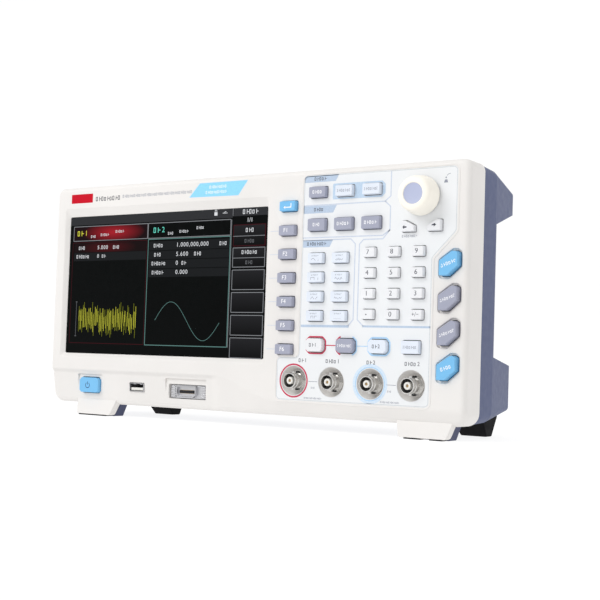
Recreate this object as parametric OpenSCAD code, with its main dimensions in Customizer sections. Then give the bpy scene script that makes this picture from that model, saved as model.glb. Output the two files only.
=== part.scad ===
// Two-channel bench function generator.
// Millimetres. X to the right, Y to the back, Z up.
// Origin: on the surface it stands on, under the middle of the whole object.

/* [Case] */
// Width of the case
case_w = 336; // [334:0.5:338]
// Height from the feet to the top of the case
overall_h = 165; // [164.5:0.5:167]
// Depth from the knob's face to the back of the ears
overall_d = 108; // [106:1:112]
// Height of the feet
foot_h = 8.5; // [8:0.1:9]
// Radius of the case's upper corners seen from the front
corner_r = 5.5; // [5:0.5:7]
// Radius of the case's lower corners
low_corner_r = 8; // [6:0.5:9]
// Depth of the white front bezel
bezel_d = 20; // [20:0.5:21]
// Wall thickness of the mouldings
wall = 2.4; // [2:0.1:2.6]
// How far the front edges are rounded back
edge_round = 3.6; // [2.5:0.1:3.8]

/* [Rear housing] */
// Depth of the full-width band behind the bezel
band_d = 21; // [20:0.5:22]
// How far each side draws in over the length of the band
band_taper = 2.2; // [1:0.1:2.5]
// How far each side draws in by the ears' ends
side_taper = 15; // [12:0.5:15]
// How far the top drops towards the back
top_taper = 6.5; // [5:0.5:7]
// How far the bottom rises towards the back
bottom_taper = 7; // [6:0.5:7]
// How far the rear panel lies in front of the ears' ends
ear_reach = 8; // [7.5:0.5:9]
// Width of one ear at its root
ear_w = 50; // [49:0.5:51]

/* [Screen] */
// Width of the screen window
screen_w = 178.4; // [175:0.1:179]
// Height of the screen window
screen_h = 99.4; // [98:0.1:100]
// Distance from the case's left edge to the window
screen_left = 12.5; // [12.2:0.1:14]
// Height of the window's lower edge above the table
screen_z = 44; // [43.8:0.1:44.4]
// Width of the sloping frame round the window
screen_frame = 3; // [2:0.1:3.2]

/* [Keys] */
// How far the keys stand out of the panel
key_proud = 3; // [2:0.1:3.4]
// Travel of a key
key_travel = 1; // [0.6:0.1:1]
// Gap round a key in its hole
key_gap = 0.35; // [0.3:0.05:0.4]
// Width of the retaining lip behind the panel
key_lip = 1.1; // [0.8:0.1:1.2]

/* [Knob] */
// Radius of the knob
knob_r = 11.9; // [11:0.1:12]
// How far the knob's face stands out of the panel
knob_reach = 13; // [12:0.5:14]
// Radius of the encoder's shaft
shaft_r = 3; // [2.5:0.1:3]
// Travel of the knob when it is pushed to select
push_travel = 0.5; // [0.3:0.1:0.6]

/* [Sockets] */
// Outer radius of a BNC socket's shell
bnc_r = 4.8; // [4.75:0.05:4.85]
// Radius of the round cup that a BNC socket sits in
cup_r = 9.3; // [9:0.1:9.5]
// Depth of the cup
cup_d = 6; // [5:0.1:6.2]
// Distance between neighbouring BNC sockets
bnc_pitch = 27.9; // [27.6:0.1:28]
// How far a BNC socket stands out of the panel
bnc_proud = 5; // [4:0.1:6]
// How far the two reference sockets stand out of the rear panel
rear_bnc_proud = 7; // [6.5:0.1:7.5]

/* [Hidden] */
$fn = 64;
slack = 0.01;
panel_y = knob_reach - overall_d / 2;
back_y = overall_d / 2;
bezel_back = panel_y + bezel_d;
band_back = bezel_back + band_d;
rear_panel_y = back_y - ear_reach;
case_bottom = foot_h;
half_w = case_w / 2;
wall_back = panel_y + wall + 0.2;

screen_x = screen_left - half_w;
lcd_margin = 4;
lcd_d = 6.4;

overlay_t = 0.5;
overlay_gap = 0.1;

lip_front = wall_back + 0.4;
lip_t = 1;
stem_r = 1.5;
stem_l = 1.6;
button_gap = 0.3;
switch_w = 6;
switch_body = 3.5;
switch_button = 1.5;
key_end = lip_front + lip_t + stem_l;
keypad_y = key_end + key_travel + button_gap + switch_button + switch_body;
board_t = 1.6;
main_board_y = bezel_back;
power_lip = panel_y + 10.4;
power_end = main_board_y - switch_body - switch_button - button_gap - key_travel;

column_x = 63.7;
column_pitch = 19.6;
soft_x = 41.3;
soft_top_z = 126.6;
soft_pitch = 15.15;
setup_z = 150;
mode_z = 129.4;
wave_z = 108.4;
wave_pitch_x = 17.8;
wave_pitch_z = 12.05;
digit_x = 102.3;
digit_z = 111.2;
digit_pitch_x = 16.7;
digit_pitch_z = 12.6;
channel_z = 54;
side_x = 156.2;
side_z = 42.5;
side_pitch = 20.33;
power_x = -129.3;
power_z = 21.4;
knob_x = 137;
knob_z = 144;
bnc_x = 48.7;
bnc_z = 31.3;
bnc_nose = 3.4;
usb_x = -85.2;
usb_z = 21.5;
port_x = -40.4;
port_z = 20.2;

ledge_z = 32.5;
ledge_end = -14;
chin_step = 1.5;
chin_slope = 3.5;
strip_z = 17.6;
strip_slope = 4.5;

front_foot_x = [-124, 140];
rear_foot_x = [-112.4, 143];
screw_at = [[124, 153], [147, 21]];
inlet_at = [-98, 34];
rear_bnc_at = [[60, 38], [88, 38]];

// A key is [name, [x, z], [width, height], shape, colour].
grey = "#A3A7B8";
blue = "#82C3F0";
white = "#F2F3F6";
ice = "#E3ECF8";

SOFT_KEYS = [for (i = [1:6]) [str("soft_key_", i), [soft_x, soft_top_z - (i - 1) * soft_pitch],
    [12.4, 6.6], "round", grey]];
RETURN_KEYS = [["return_key", [soft_x, soft_top_z + 15.6], [12.4, 6.6], "round", blue]];

setup_names = ["user_key", "digital_key", "counter_key"];
SETUP_KEYS = [for (i = [0:2]) [setup_names[i], [column_x + i * 19.5, setup_z],
    [12.6, 7], "round", i == 0 ? grey : ice]];

mode_names = ["modulation_key", "sweep_key", "burst_key"];
MODE_KEYS = [for (i = [0:2]) [mode_names[i], [column_x + i * column_pitch, mode_z],
    [13.2, 7.9], "round", grey]];

wave_names = ["sine_key", "noise_key", "square_key", "arbitrary_key",
    "ramp_key", "harmonic_key", "pulse_key", "dc_key"];
WAVE_KEYS = [for (i = [0:7]) [wave_names[i],
    [column_x + (i % 2) * wave_pitch_x, wave_z - floor(i / 2) * wave_pitch_z],
    [11.4, 6.7], "round", ice]];

digit_names = ["digit_7_key", "digit_8_key", "digit_9_key", "digit_4_key", "digit_5_key", "digit_6_key",
    "digit_1_key", "digit_2_key", "digit_3_key", "point_key", "digit_0_key", "sign_key"];
DIGIT_KEYS = [for (i = [0:11]) [digit_names[i],
    [digit_x + (i % 3) * digit_pitch_x, digit_z - floor(i / 3) * digit_pitch_z],
    [8.6, 6.2], "round", white]];

ARROW_KEYS = [
    ["left_arrow_key", [128.6, 126.2], [9.2, 6.8], "cut_right", white],
    ["right_arrow_key", [146.1, 126.2], [9.2, 6.8], "cut_left", white]];

CHANNEL_KEYS = [
    ["channel_1_key", [64.6, channel_z], [12.6, 8.6], "cut_corners", white],
    ["dual_channel_key", [87, channel_z], [12.8, 9], "cut_corners", grey],
    ["channel_2_key", [110, channel_z], [13, 8.6], "cut_corners", ice],
    ["trigger_key", [132.4, channel_z], [12.2, 8], "round", ice]];

side_names = ["help_key", "utility_key", "storage_key", "preset_key"];
SIDE_KEYS = [for (i = [0:3]) [side_names[i], [side_x, side_z + i * side_pitch],
    [12.3, 14.6], "slanted", i % 3 == 0 ? blue : grey]];

POWER_KEYS = [["power_key", [power_x, power_z], [18.8, 11], "cut_corners", blue]];

PANEL_KEYS = concat(SETUP_KEYS, MODE_KEYS, WAVE_KEYS, DIGIT_KEYS, ARROW_KEYS, CHANNEL_KEYS);
BOARD_KEYS = concat(RETURN_KEYS, SOFT_KEYS, PANEL_KEYS, SIDE_KEYS);
KEYS = concat(BOARD_KEYS, POWER_KEYS);

// ---- shared shapes ----

// Stands a drawing made in X and Z upright at depth y, and thickens it towards the back.
module upright(y, t) {
    translate([0, y, 0])
    rotate([90, 0, 0])
    mirror([0, 0, 1])
    linear_extrude(t)
    children();
}

module block(x, y, z) {
    translate([x[0], y[0], z[0]])
    cube([x[1] - x[0], y[1] - y[0], z[1] - z[0]]);
}

module rod(x, z, y, r) {
    upright(y[0], y[1] - y[0])
    translate([x, z])
    circle(r);
}

// A block with the side outline given in Y and Z, whose half width grows from bottom to top.
module tapered_foot(x, bottom, top, side) {
    low = side[0][1];
    high = side[2][1];
    intersection() {
        translate([x - top, 0, 0])
        rotate([90, 0, 90])
        linear_extrude(2 * top)
        polygon(side);
        upright(side[0][0] - 10, 60)
        polygon([[x - bottom, low], [x + bottom, low], [x + top, high], [x - top, high]]);
    }
}

module rounded_rect(w, h, r) {
    square([w - 2 * r, h], center = true);
    square([w, h - 2 * r], center = true);
    for (x = [-1, 1], z = [-1, 1])
        translate([x * (w / 2 - r), z * (h / 2 - r)])
        circle(r);
}

// A rectangle with its corners cut. The cuts are in the order lower left, lower right, upper right,
// upper left.
module cut_rect(w, h, cuts) {
    x = w / 2;
    z = h / 2;
    polygon([[-x + cuts[0], -z], [x - cuts[1], -z], [x, -z + cuts[1]], [x, z - cuts[2]],
        [x - cuts[2], z], [-x + cuts[3], z], [-x, z - cuts[3]], [-x, -z + cuts[0]]]);
}

// A rectangle with one wide cut at its upper right for side 1, or at its upper left for side -1.
module one_cut(w, h, side) {
    x = side * w / 2;
    z = h / 2;
    polygon([[-x, -z], [x, -z], [x, z - 3.2], [x - side * 6.2, z], [-x, z]]);
}

// The slanted six-sided key, grown all round by g.
module slanted(w, h, g) {
    x = w / 2 + g;
    z = h / 2 + g;
    polygon([[-x, -z], [-w * 0.05 + g / 2, -z], [x, -h * 0.1 - g / 2],
        [x, h * 0.42 + g / 2], [x * 0.7, z], [w * 0.17 - g / 2, z], [-x, h * 0.12 + g / 2]]);
}

module key_outline(key, g = 0) {
    w = key[2][0];
    h = key[2][1];
    translate(key[1]) {
        if (key[3] == "round")
            rounded_rect(w + 2 * g, h + 2 * g, 0.8 + g);
        if (key[3] == "cut_corners")
            cut_rect(w + 2 * g, h + 2 * g, [1.8, 1.8, 1.8, 1.8]);
        if (key[3] == "cut_right")
            one_cut(w + 2 * g, h + 2 * g, 1);
        if (key[3] == "cut_left")
            one_cut(w + 2 * g, h + 2 * g, -1);
        if (key[3] == "slanted")
            slanted(w, h, g);
    }
}

// A rectangle from bottom to top with one radius for its lower corners and one for its upper ones.
module case_section(half, bottom, top, low_r, high_r) {
    translate([-half, bottom + low_r])
    square([2 * half, top - bottom - low_r - high_r]);
    translate([-half + low_r, bottom])
    square([2 * (half - low_r), low_r + slack]);
    translate([-half + high_r, top - high_r - slack])
    square([2 * (half - high_r), high_r + slack]);
    for (side = [-1, 1]) {
        translate([side * (half - low_r), bottom + low_r])
        circle(low_r);
        translate([side * (half - high_r), top - high_r])
        circle(high_r);
    }
}

module case_outline(inset) {
    case_section(half_w - inset, case_bottom + inset, overall_h - inset, low_corner_r - inset,
        corner_r - inset);
}

// ---- front bezel ----

module bezel_shell() {
    difference() {
        union() {
            hull() {
                upright(panel_y, slack) case_outline(edge_round);
                upright(panel_y + edge_round * 0.3, slack) case_outline(edge_round * 0.3);
                upright(panel_y + edge_round, slack) case_outline(0);
            }
            upright(panel_y + edge_round, bezel_d - edge_round) case_outline(0);
        }
        difference() {
            upright(wall_back, bezel_d) case_outline(wall);
            block([-half_w, ledge_end + 50], [panel_y, panel_y + wall + chin_step + chin_slope + 0.6],
                [0, ledge_z + wall]);
            block([-half_w, half_w], [panel_y, panel_y + wall + strip_slope], [0, strip_z + wall]);
        }
    }
}

// The chin under the screen lies behind the rest of the front, under a ledge, and slopes back.
module chin_cut() {
    intersection() {
        rotate([90, 0, 90])
        translate([0, 0, -half_w - 1])
        linear_extrude(case_w + 2)
        polygon([[panel_y - 1, 0], [panel_y - 1, ledge_z], [panel_y + chin_step, ledge_z],
            [panel_y + chin_step + chin_slope, case_bottom], [panel_y + chin_step + chin_slope, 0]]);
        upright(panel_y - 1, bezel_d)
        polygon([[-half_w - 1, 0], [-half_w - 1, ledge_z + 1], [ledge_end, ledge_z + 1],
            [ledge_end + 10, ledge_z - 3], [ledge_end + 34, strip_z + 3],
            [ledge_end + 46, strip_z], [ledge_end + 46, 0]]);
    }
}

module bottom_strip_cut() {
    rotate([90, 0, 90])
    translate([0, 0, ledge_end + 46 - slack])
    linear_extrude(half_w)
    polygon([[panel_y - 1, 0], [panel_y - 1, strip_z], [panel_y, strip_z],
        [panel_y + strip_slope, case_bottom - slack], [panel_y + strip_slope, 0]]);
}

module screen_cut() {
    w = screen_w;
    h = screen_h;
    f = screen_frame;
    translate([screen_x + w / 2, 0, screen_z + h / 2])
    hull() {
        upright(panel_y - 0.1, slack) square([w + 2 * f, h + 2 * f], center = true);
        upright(wall_back - 0.4, slack) square([w, h], center = true);
        upright(wall_back + 1, slack) square([w, h], center = true);
    }
}

module foot_front(x) {
    tapered_foot(x, 16, 19,
        [[panel_y + 0.6, 0.7], [panel_y + 6.2, 0.7],
            [panel_y + 9.4, foot_h + 3], [panel_y + 4.2, foot_h + 3]]);
}

module front_bezel() {
    color("#F4F1EE")
    difference() {
        union() {
            difference() {
                bezel_shell();
                chin_cut();
                bottom_strip_cut();
            }
            for (x = front_foot_x)
                foot_front(x);
            for (i = [0:3])
                rod(bnc_x + i * bnc_pitch, bnc_z, [wall_back - 1, panel_y + cup_d + wall], cup_r + 2);
            for (s = screw_at, side = [-1, 1])
                rod(side * s[0], s[1], [s[1] > ledge_z ? wall_back - 1 : panel_y + 5, bezel_back + 8], 4.5);
            for (p = [[73.5, 139.7], [156, 130.5], [52.6, 60], [144.5, 62]])
                rod(p[0], p[1], [wall_back - 1, keypad_y], 3);
        }
        screen_cut();
        upright(panel_y - 1, overlay_t + 1) overlay_outline();
        for (k = KEYS)
            upright(panel_y - 1, wall + 8.5) key_outline(k, key_gap);
        for (k = SIDE_KEYS)
            upright(panel_y - 1, 2) key_outline(k, 1.7);
        for (i = [0:3]) {
            x = bnc_x + i * bnc_pitch;
            rod(x, bnc_z, [panel_y - 1, panel_y + cup_d], cup_r);
            rod(x, bnc_z, [panel_y, panel_y + cup_d + wall + 1], bnc_r + 0.1);
        }
        rod(knob_x, knob_z, [panel_y - 1, wall_back + 1], 5);
        for (s = screw_at, side = [-1, 1])
            rod(side * s[0], s[1], [bezel_back - 7, bezel_back + 9], 1.4);
        upright(panel_y - 1, 12) translate([usb_x, usb_z]) square([13.6, 6.2], center = true);
        upright(panel_y - 1, 12) translate([port_x, port_z]) square([32.2, 9.8], center = true);
        upright(panel_y - 1, 4.4) translate([port_x - 0.6, port_z + 1.6]) square([36, 14.4], center = true);
        upright(panel_y - 1, 4.2) translate([power_x, power_z]) square([24, 16], center = true);
    }
}

// ---- keypad panel ----

module overlay_outline(inset = 0) {
    polygon([[35.4 + inset, 18.8 + inset], [144.6 - inset, 18.8 + inset],
        [144.6 - inset, 107 - inset / 2], [160 - inset, 122.6 - inset / 2], [160 - inset, 157.5],
        [156.5, 161 - inset], [52 + inset, 161 - inset], [52 + inset, 46 - inset], [37 + inset, 46 - inset],
        [35.4 + inset, 44.5 - inset]]);
}

module panel_overlay() {
    color("#ECEEEF")
    difference() {
        upright(panel_y, overlay_t) overlay_outline(overlay_gap);
        for (k = PANEL_KEYS)
            upright(panel_y - 1, 3) key_outline(k, key_gap);
        for (i = [0:3])
            rod(bnc_x + i * bnc_pitch, bnc_z, [panel_y - 1, panel_y + 2], cup_r);
        rod(knob_x, knob_z, [panel_y - 1, panel_y + 2], 5);
        for (i = [0:3])
            upright(panel_y - 1, 2) key_outline(SIDE_KEYS[i], 1.7);
    }
}

// ---- keys ----

module switch_stem(x, z) {
    rod(x, z, [lip_front + lip_t - slack, key_end], stem_r);
}

module key(k) {
    x = k[1][0];
    z = k[1][1];
    w = k[2][0];
    h = k[2][1];
    lip_w = k[3] == "slanted" ? w + 1.2 : w + 2 * key_lip;
    color(k[4]) {
        upright(panel_y - key_proud, lip_front + lip_t - panel_y + key_proud) key_outline(k);
        block([x - lip_w / 2, x + lip_w / 2], [lip_front, lip_front + lip_t],
            [z - h / 2 - key_lip, z + h / 2 + key_lip]);
        switch_stem(x, z);
    }
}

module power_key() {
    k = POWER_KEYS[0];
    x = k[1][0];
    z = k[1][1];
    color(k[4]) {
        upright(panel_y + 0.8, power_lip + lip_t - panel_y - 0.8) key_outline(k);
        block([x - 10.5, x + 10.5], [power_lip, power_lip + lip_t], [z - 6.6, z + 6.6]);
        rod(x, z, [power_lip + lip_t - slack, power_end], 2);
    }
}

// ---- knob ----

module knob() {
    depth = knob_reach - 1;
    color("#F5EEE0")
    translate([knob_x, panel_y - 1, knob_z])
    rotate([90, 0, 0])
    rotate_extrude()
    polygon([[shaft_r + 0.05, 0], [knob_r, 0], [knob_r, depth - 3], [knob_r - 0.9, depth - 1],
        [knob_r - 2.8, depth], [7, depth], [6.4, depth - 0.9], [0, depth - 1.3],
        [0, depth - 2.6], [shaft_r + 0.05, depth - 2.6]]);
}

module encoder_shaft() {
    color("#B9BCC2")
    rod(knob_x, knob_z, [panel_y - knob_reach + 4, keypad_y - push_travel - 0.4], shaft_r);
}

// ---- boards and display ----

module lcd_module() {
    x = [screen_x - lcd_margin, screen_x + screen_w + lcd_margin];
    z = [screen_z - lcd_margin, screen_z + screen_h + lcd_margin];
    color("#101114")
    block(x, [wall_back, wall_back + lcd_d], z);
}

module tact_switch(x, z, board_y) {
    block([x - switch_w / 2, x + switch_w / 2], [board_y - switch_body, board_y + slack],
        [z - switch_w / 2, z + switch_w / 2]);
    rod(x, z, [board_y - switch_body - switch_button, board_y - switch_body + slack], 1.75);
}

module keypad_board() {
    color("#2F6B45")
    difference() {
        union() {
            block([34, 164.6], [keypad_y, keypad_y + board_t], [43.6, 160]);
            block([148, 164.6], [keypad_y, keypad_y + board_t], [35, 44]);
            block([knob_x - 6, knob_x + 6], [keypad_y - 6.5, keypad_y + slack], [knob_z - 6, knob_z + 6]);
            rod(knob_x, knob_z, [panel_y + 0.6, keypad_y - 6], 4.6);
            block([70, 96], [keypad_y + board_t - slack, keypad_y + board_t + 3], [84, 90]);
            for (k = BOARD_KEYS)
                tact_switch(k[1][0], k[1][1], keypad_y);
        }
        rod(knob_x, knob_z, [panel_y - 1, keypad_y], shaft_r + 0.05);
        rod(screw_at[0][0], screw_at[0][1], [keypad_y - 1, keypad_y + board_t + 1], 5);
    }
}

module main_board() {
    front = main_board_y;
    back = main_board_y + board_t;
    color("#1F5C3A") {
        block([-139, 139], [front, back], [14, 147]);
        tact_switch(power_x, power_z, front);
    }
    color("#C9CCD1")
    for (x = [20, 76])
        block([x, x + 46], [back - slack, back + 9], [50, 106]);
    color("#25272B") {
        block([-60, -32], [back - slack, back + 2.6], [70, 98]);
        block([-20, 0], [back - slack, back + 2.6], [60, 80]);
        block([-100, -84], [back - slack, back + 2.6], [88, 104]);
        block([-18, 2], [back - slack, back + 6], [110, 124]);
    }
    color("#E8E6DF")
    block([-118, -96], [back - slack, back + 8], [110, 122]);
}

module power_supply() {
    board_front = rear_panel_y - wall - 8 - board_t;
    color("#3B6E4C") {
        block([-128, -28], [board_front, board_front + board_t], [56, 128]);
        for (x = [-122, -34], z = [62, 122])
            rod(x, z, [board_front + board_t - slack, rear_panel_y - wall], 3);
    }
    color("#C4A33B")
    block([-92, -60], [board_front - 24, board_front + slack], [76, 108]);
    color("#2A2C38")
    for (x = [-112, -44])
        rod(x, 88, [board_front - 22, board_front + slack], 8);
    color("#AEB2B8")
    block([-104, -50], [board_front - 18, board_front + slack], [114, 118]);
}

// ---- rear housing ----

// The housing's sections: depth, half width, bottom, top, and the lower and upper corners' radii.
SECTIONS = [
    [bezel_back, half_w - 0.5, case_bottom + 0.5, overall_h - 0.5, low_corner_r - 0.5, corner_r - 0.5],
    [band_back, half_w - band_taper, case_bottom + 1.2, overall_h - 1, low_corner_r - 0.5, corner_r - 0.5],
    [back_y, half_w - side_taper, case_bottom + bottom_taper, overall_h - top_taper, 3, 2.6]];

// Height of the housing's underside at depth y, behind the band.
function underside(y) = SECTIONS[1][2]
    + (SECTIONS[2][2] - SECTIONS[1][2]) * (y - band_back) / (back_y - band_back);

module housing_section(s, y, inset) {
    upright(y, slack)
    case_section(s[1] - inset, s[2] + inset, s[3] - inset, max(s[4] - inset, 0.4), max(s[5] - inset, 0.4));
}

// Everything between the housing's sections.
module housing_envelope(inset, y0, y1) {
    hull() {
        housing_section(SECTIONS[0], y0, inset);
        housing_section(SECTIONS[1], band_back, inset);
    }
    hull() {
        housing_section(SECTIONS[1], band_back, inset);
        housing_section(SECTIONS[2], y1 - slack, inset);
    }
}

// Solid form of the housing; inset makes the same form smaller for its hollow.
module housing_form(inset) {
    y0 = bezel_back - (inset > 0 ? 1 : 0);
    core_back = rear_panel_y - inset;
    ear_back = back_y - inset;
    x_mid = half_w - side_taper - 11;
    intersection() {
        union() {
            block([-half_w, half_w], [y0, band_back - inset / 2], [0, overall_h]);
            linear_extrude(overall_h)
            polygon([[-half_w + inset * 1.4, band_back - inset], [half_w - inset * 1.4, band_back - inset],
                [x_mid - inset, band_back + 22], [x_mid - inset, core_back],
                [-x_mid + inset, core_back], [-x_mid + inset, band_back + 22]]);
            ears(inset, ear_back);
        }
        housing_envelope(inset, y0, ear_back);
    }
}

// Four ears reach back from the corners. Their faces towards the waist slope.
module ears(inset, y1) {
    y0 = band_back - inset;
    intersection() {
        rotate([90, 0, 90])
        translate([0, 0, -half_w])
        linear_extrude(case_w) {
            polygon([[y0, overall_h], [y1, overall_h], [y1, 143.3 + inset], [y0, 130.5 + inset]]);
            polygon([[y0, 0], [y1, 0], [y1, 45 - inset], [y0, 50 - inset]]);
        }
        for (side = [0, 1])
            mirror([side, 0, 0])
            block([half_w - ear_w + inset, half_w], [y0, y1], [0, overall_h]);
    }
}

module vent_rows(x0, z0, columns, rows) {
    for (i = [0:columns - 1], j = [0:rows - 1])
        block([x0 + i * 20, x0 + i * 20 + 15], [rear_panel_y - wall - 1, rear_panel_y + 1],
            [z0 + j * 7, z0 + j * 7 + 3]);
}

module rear_housing() {
    color("#666C88")
    difference() {
        union() {
            difference() {
                housing_form(0);
                housing_form(wall);
            }
            for (s = screw_at, side = [-1, 1])
                rod(side * s[0], s[1], [bezel_back + 8, back_y - wall], 5);
            for (x = [-134, 134], z = [64, 132])
                rod(x, z, [main_board_y + board_t, rear_panel_y - wall + slack], 3.5);
        }
        for (s = screw_at, side = [-1, 1]) {
            rod(side * s[0], s[1], [bezel_back + 8 + wall, back_y + 1], 3.3);
            rod(side * s[0], s[1], [bezel_back, back_y], 1.7);
        }
        vent_rows(-8, 74, 6, 9);
        upright(rear_panel_y - wall - 1, wall + 2) translate(inlet_at) square([27.4, 19.8], center = true);
        for (p = rear_bnc_at)
            rod(p[0], p[1], [rear_panel_y - wall - 1, rear_panel_y + 1], bnc_r + 0.1);
    }
}

// ---- sockets ----

// One BNC socket along Y: shell, flange, insulator with its contact, two bayonet lugs and a rear body.
module bnc_socket(x, z, front, seat, rear_end) {
    color("#C2C3C6") {
        difference() {
            union() {
                rod(x, z, [front, front + bnc_nose], bnc_r);
                rod(x, z, [front + bnc_nose - slack, rear_end], bnc_r - 0.3);
                rod(x, z, [seat - 1.2, seat], 6.2);
            }
            rod(x, z, [front - 1, front + 7], 4.05);
        }
        for (side = [-1, 1])
            translate([x, front + 4.6, z])
            rotate([side > 0 ? 0 : 180, 0, 0])
            cylinder(h = 5.9, r = 1);
    }
    color("#EFEDE8")
    difference() {
        rod(x, z, [front + 0.5, front + 7 + slack], 2.3);
        rod(x, z, [front, front + 5], 0.8);
    }
}

module bnc_sockets() {
    for (i = [0:3])
        bnc_socket(bnc_x + i * bnc_pitch, bnc_z, panel_y - bnc_proud, panel_y + cup_d, main_board_y);
    for (p = rear_bnc_at)
        translate([p[0], rear_panel_y, p[1]])
        rotate([0, 0, 180])
        bnc_socket(0, 0, -rear_bnc_proud, 0, wall + 10);
}

module usb_socket() {
    front = panel_y + 2.6;
    color("#B4B6BA")
    difference() {
        block([usb_x - 6.6, usb_x + 6.6], [front, main_board_y], [usb_z - 2.9, usb_z + 2.9]);
        block([usb_x - 6.2, usb_x + 6.2], [front - 1, main_board_y - 4], [usb_z - 2.5, usb_z + 2.5]);
    }
    color("#F0F0EE")
    block([usb_x - 5.5, usb_x + 5.5], [front + 0.8, main_board_y - 4 + slack], [usb_z - 2.1, usb_z - 0.2]);
}

module digital_port() {
    front = panel_y + 3.5;
    color("#BDBEC2") {
        difference() {
            union() {
                block([port_x - 15.8, port_x + 15.8], [front + 2, front + 3], [port_z - 4.6, port_z + 4.6]);
                upright(front, main_board_y - front)
                translate([port_x - 1.2, port_z])
                cut_rect(17, 7.8, [2.4, 2.4, 0.6, 0.6]);
            }
            upright(front - 1, 9)
            translate([port_x - 1.2, port_z])
            cut_rect(15.6, 6.4, [2, 2, 0.4, 0.4]);
        }
        for (side = [-1, 1])
            rod(port_x + side * 12.6, port_z, [front + 0.4, front + 2 + slack], 2);
    }
    color("#1C1C22")
    block([port_x - 7.4, port_x + 5], [front + 1, front + 8 + slack], [port_z - 1, port_z + 1]);
}

// Appliance inlet: flange, recess and three blades.
module mains_inlet() {
    x = inlet_at[0];
    z = inlet_at[1];
    color("#1B1B1F")
    difference() {
        union() {
            upright(rear_panel_y, 1.8) translate([x, z]) rounded_rect(31, 24, 2);
            block([x - 13.5, x + 13.5], [rear_panel_y - 20, rear_panel_y + slack], [z - 9.7, z + 9.7]);
        }
        upright(rear_panel_y - 17, 20) translate([x, z]) cut_rect(24.4, 16.6, [0.6, 0.6, 4, 4]);
    }
    color("#C9B36A")
    for (p = [[-7, -2], [0, 3], [7, -2]])
        block([x + p[0] - 1, x + p[0] + 1], [rear_panel_y - 17 - slack, rear_panel_y - 3],
            [z + p[1] - 2, z + p[1] + 2]);
}

// ---- feet and screws ----

module front_feet() {
    color("#3A3E55")
    for (x = front_foot_x)
        tapered_foot(x, 15.4, 17.6,
            [[panel_y + 6.5, 0], [panel_y + 16, 0], [panel_y + 18, foot_h], [panel_y + 10.4, foot_h]]);
}

module rear_feet() {
    color("#15151C")
    for (x = rear_foot_x)
        tapered_foot(x, 9, 11, [[24, 0], [32, 0], [36, underside(36)], [14, underside(14)]]);
}

module case_screws() {
    head = bezel_back + 8 + wall;
    color("#8A8D92")
    for (s = screw_at, side = [-1, 1]) {
        rod(side * s[0], s[1], [head, head + 2], 2.8);
        rod(side * s[0], s[1], [head - 15, head + slack], 1.3);
    }
}

// ---- what is drawn ----

front_bezel();
panel_overlay();
lcd_module();
keypad_board();
encoder_shaft();
knob();
main_board();
power_supply();
rear_housing();
bnc_sockets();
usb_socket();
digital_port();
mains_inlet();
front_feet();
rear_feet();
case_screws();
for (k = BOARD_KEYS)
    key(k);
power_key();
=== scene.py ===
"""Looks of a two-channel bench function generator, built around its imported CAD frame.

Helpers work in millimetres, in the frame's own axes; piece() turns them into metres.
"""

import math
import random

import bmesh
import bpy
from mathutils import Matrix, Vector


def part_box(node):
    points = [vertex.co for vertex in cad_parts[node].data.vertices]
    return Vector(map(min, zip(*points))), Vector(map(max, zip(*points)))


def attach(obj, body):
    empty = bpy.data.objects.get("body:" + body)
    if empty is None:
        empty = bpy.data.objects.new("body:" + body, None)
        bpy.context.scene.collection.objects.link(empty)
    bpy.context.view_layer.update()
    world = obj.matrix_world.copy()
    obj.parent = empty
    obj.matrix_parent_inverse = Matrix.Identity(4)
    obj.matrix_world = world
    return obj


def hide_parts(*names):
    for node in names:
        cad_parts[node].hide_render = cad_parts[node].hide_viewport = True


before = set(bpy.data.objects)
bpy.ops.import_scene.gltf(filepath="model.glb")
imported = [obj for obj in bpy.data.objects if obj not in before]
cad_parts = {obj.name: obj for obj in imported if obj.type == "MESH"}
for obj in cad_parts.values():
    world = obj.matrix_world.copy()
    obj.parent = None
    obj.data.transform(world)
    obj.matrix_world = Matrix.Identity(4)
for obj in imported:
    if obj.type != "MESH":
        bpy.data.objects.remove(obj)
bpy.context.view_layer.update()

MM = 0.001


def box_mm(node):
    low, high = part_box(node)
    return [v / MM for v in low], [v / MM for v in high]


# ---- places shared with the CAD ----

PANEL = box_mm("panel_overlay")[0][1]
HALF_W = box_mm("front_bezel")[1][0]
TOP = box_mm("front_bezel")[1][2]
LCD_LOW, LCD_HIGH = box_mm("lcd_module")
LCD_FACE = LCD_LOW[1]
LCD_MARGIN = 4
SCREEN_FRAME = (3.0, 2.0, 2.8, 5.4)
CASE_BOTTOM = box_mm("rear_housing")[0][2] - 0.5
BEZEL_BACK = PANEL + 20
WALL = 2.4
WALL_BACK = LCD_FACE
EDGE_ROUND = 3.6
CORNER_RADII = (8, 8, 5.5, 5.5)
KEY_GAP = 0.35
CUP_R = 9.3
CUP_DEPTH = 6
CUP_FLOOR_R = 6.8
POCKET = 1.5
POCKET_DEPTH = 1.9
CHIN_RECESS = 3.2
PORT_RECESS = 3.4
CHIN_WALL = 8.2
KEY_BACK = PANEL + 11
CHIN_BACK = PANEL + 12
FILM_T = 0.45
OVERLAY_R = 3.2
LEDGE_Z = 32.5
LEDGE_END = -14
CHIN_STEP = 1.5
CHIN_SLOPE = 3.5
STRIP_Z = 17.6
STRIP_SLOPE = 4.5
PRINT_T = 0.04

OVERLAY = [(35.4, 18.8), (144.6, 18.8), (144.6, 107), (160, 122.6), (160, 161), (52, 161), (52, 46),
           (35.4, 46)]

BNC_X = [48.7 + 27.9 * i for i in range(4)]
BNC_Z = 31.3
REAR_BNC_X = [60, 88]
REAR_BNC_Z = 38
REAR_PANEL = 46
FOOT_X = [-124, 140]


def middle(node):
    low, high = box_mm(node)
    return (low[0] + high[0]) / 2, (low[2] + high[2]) / 2


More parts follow.
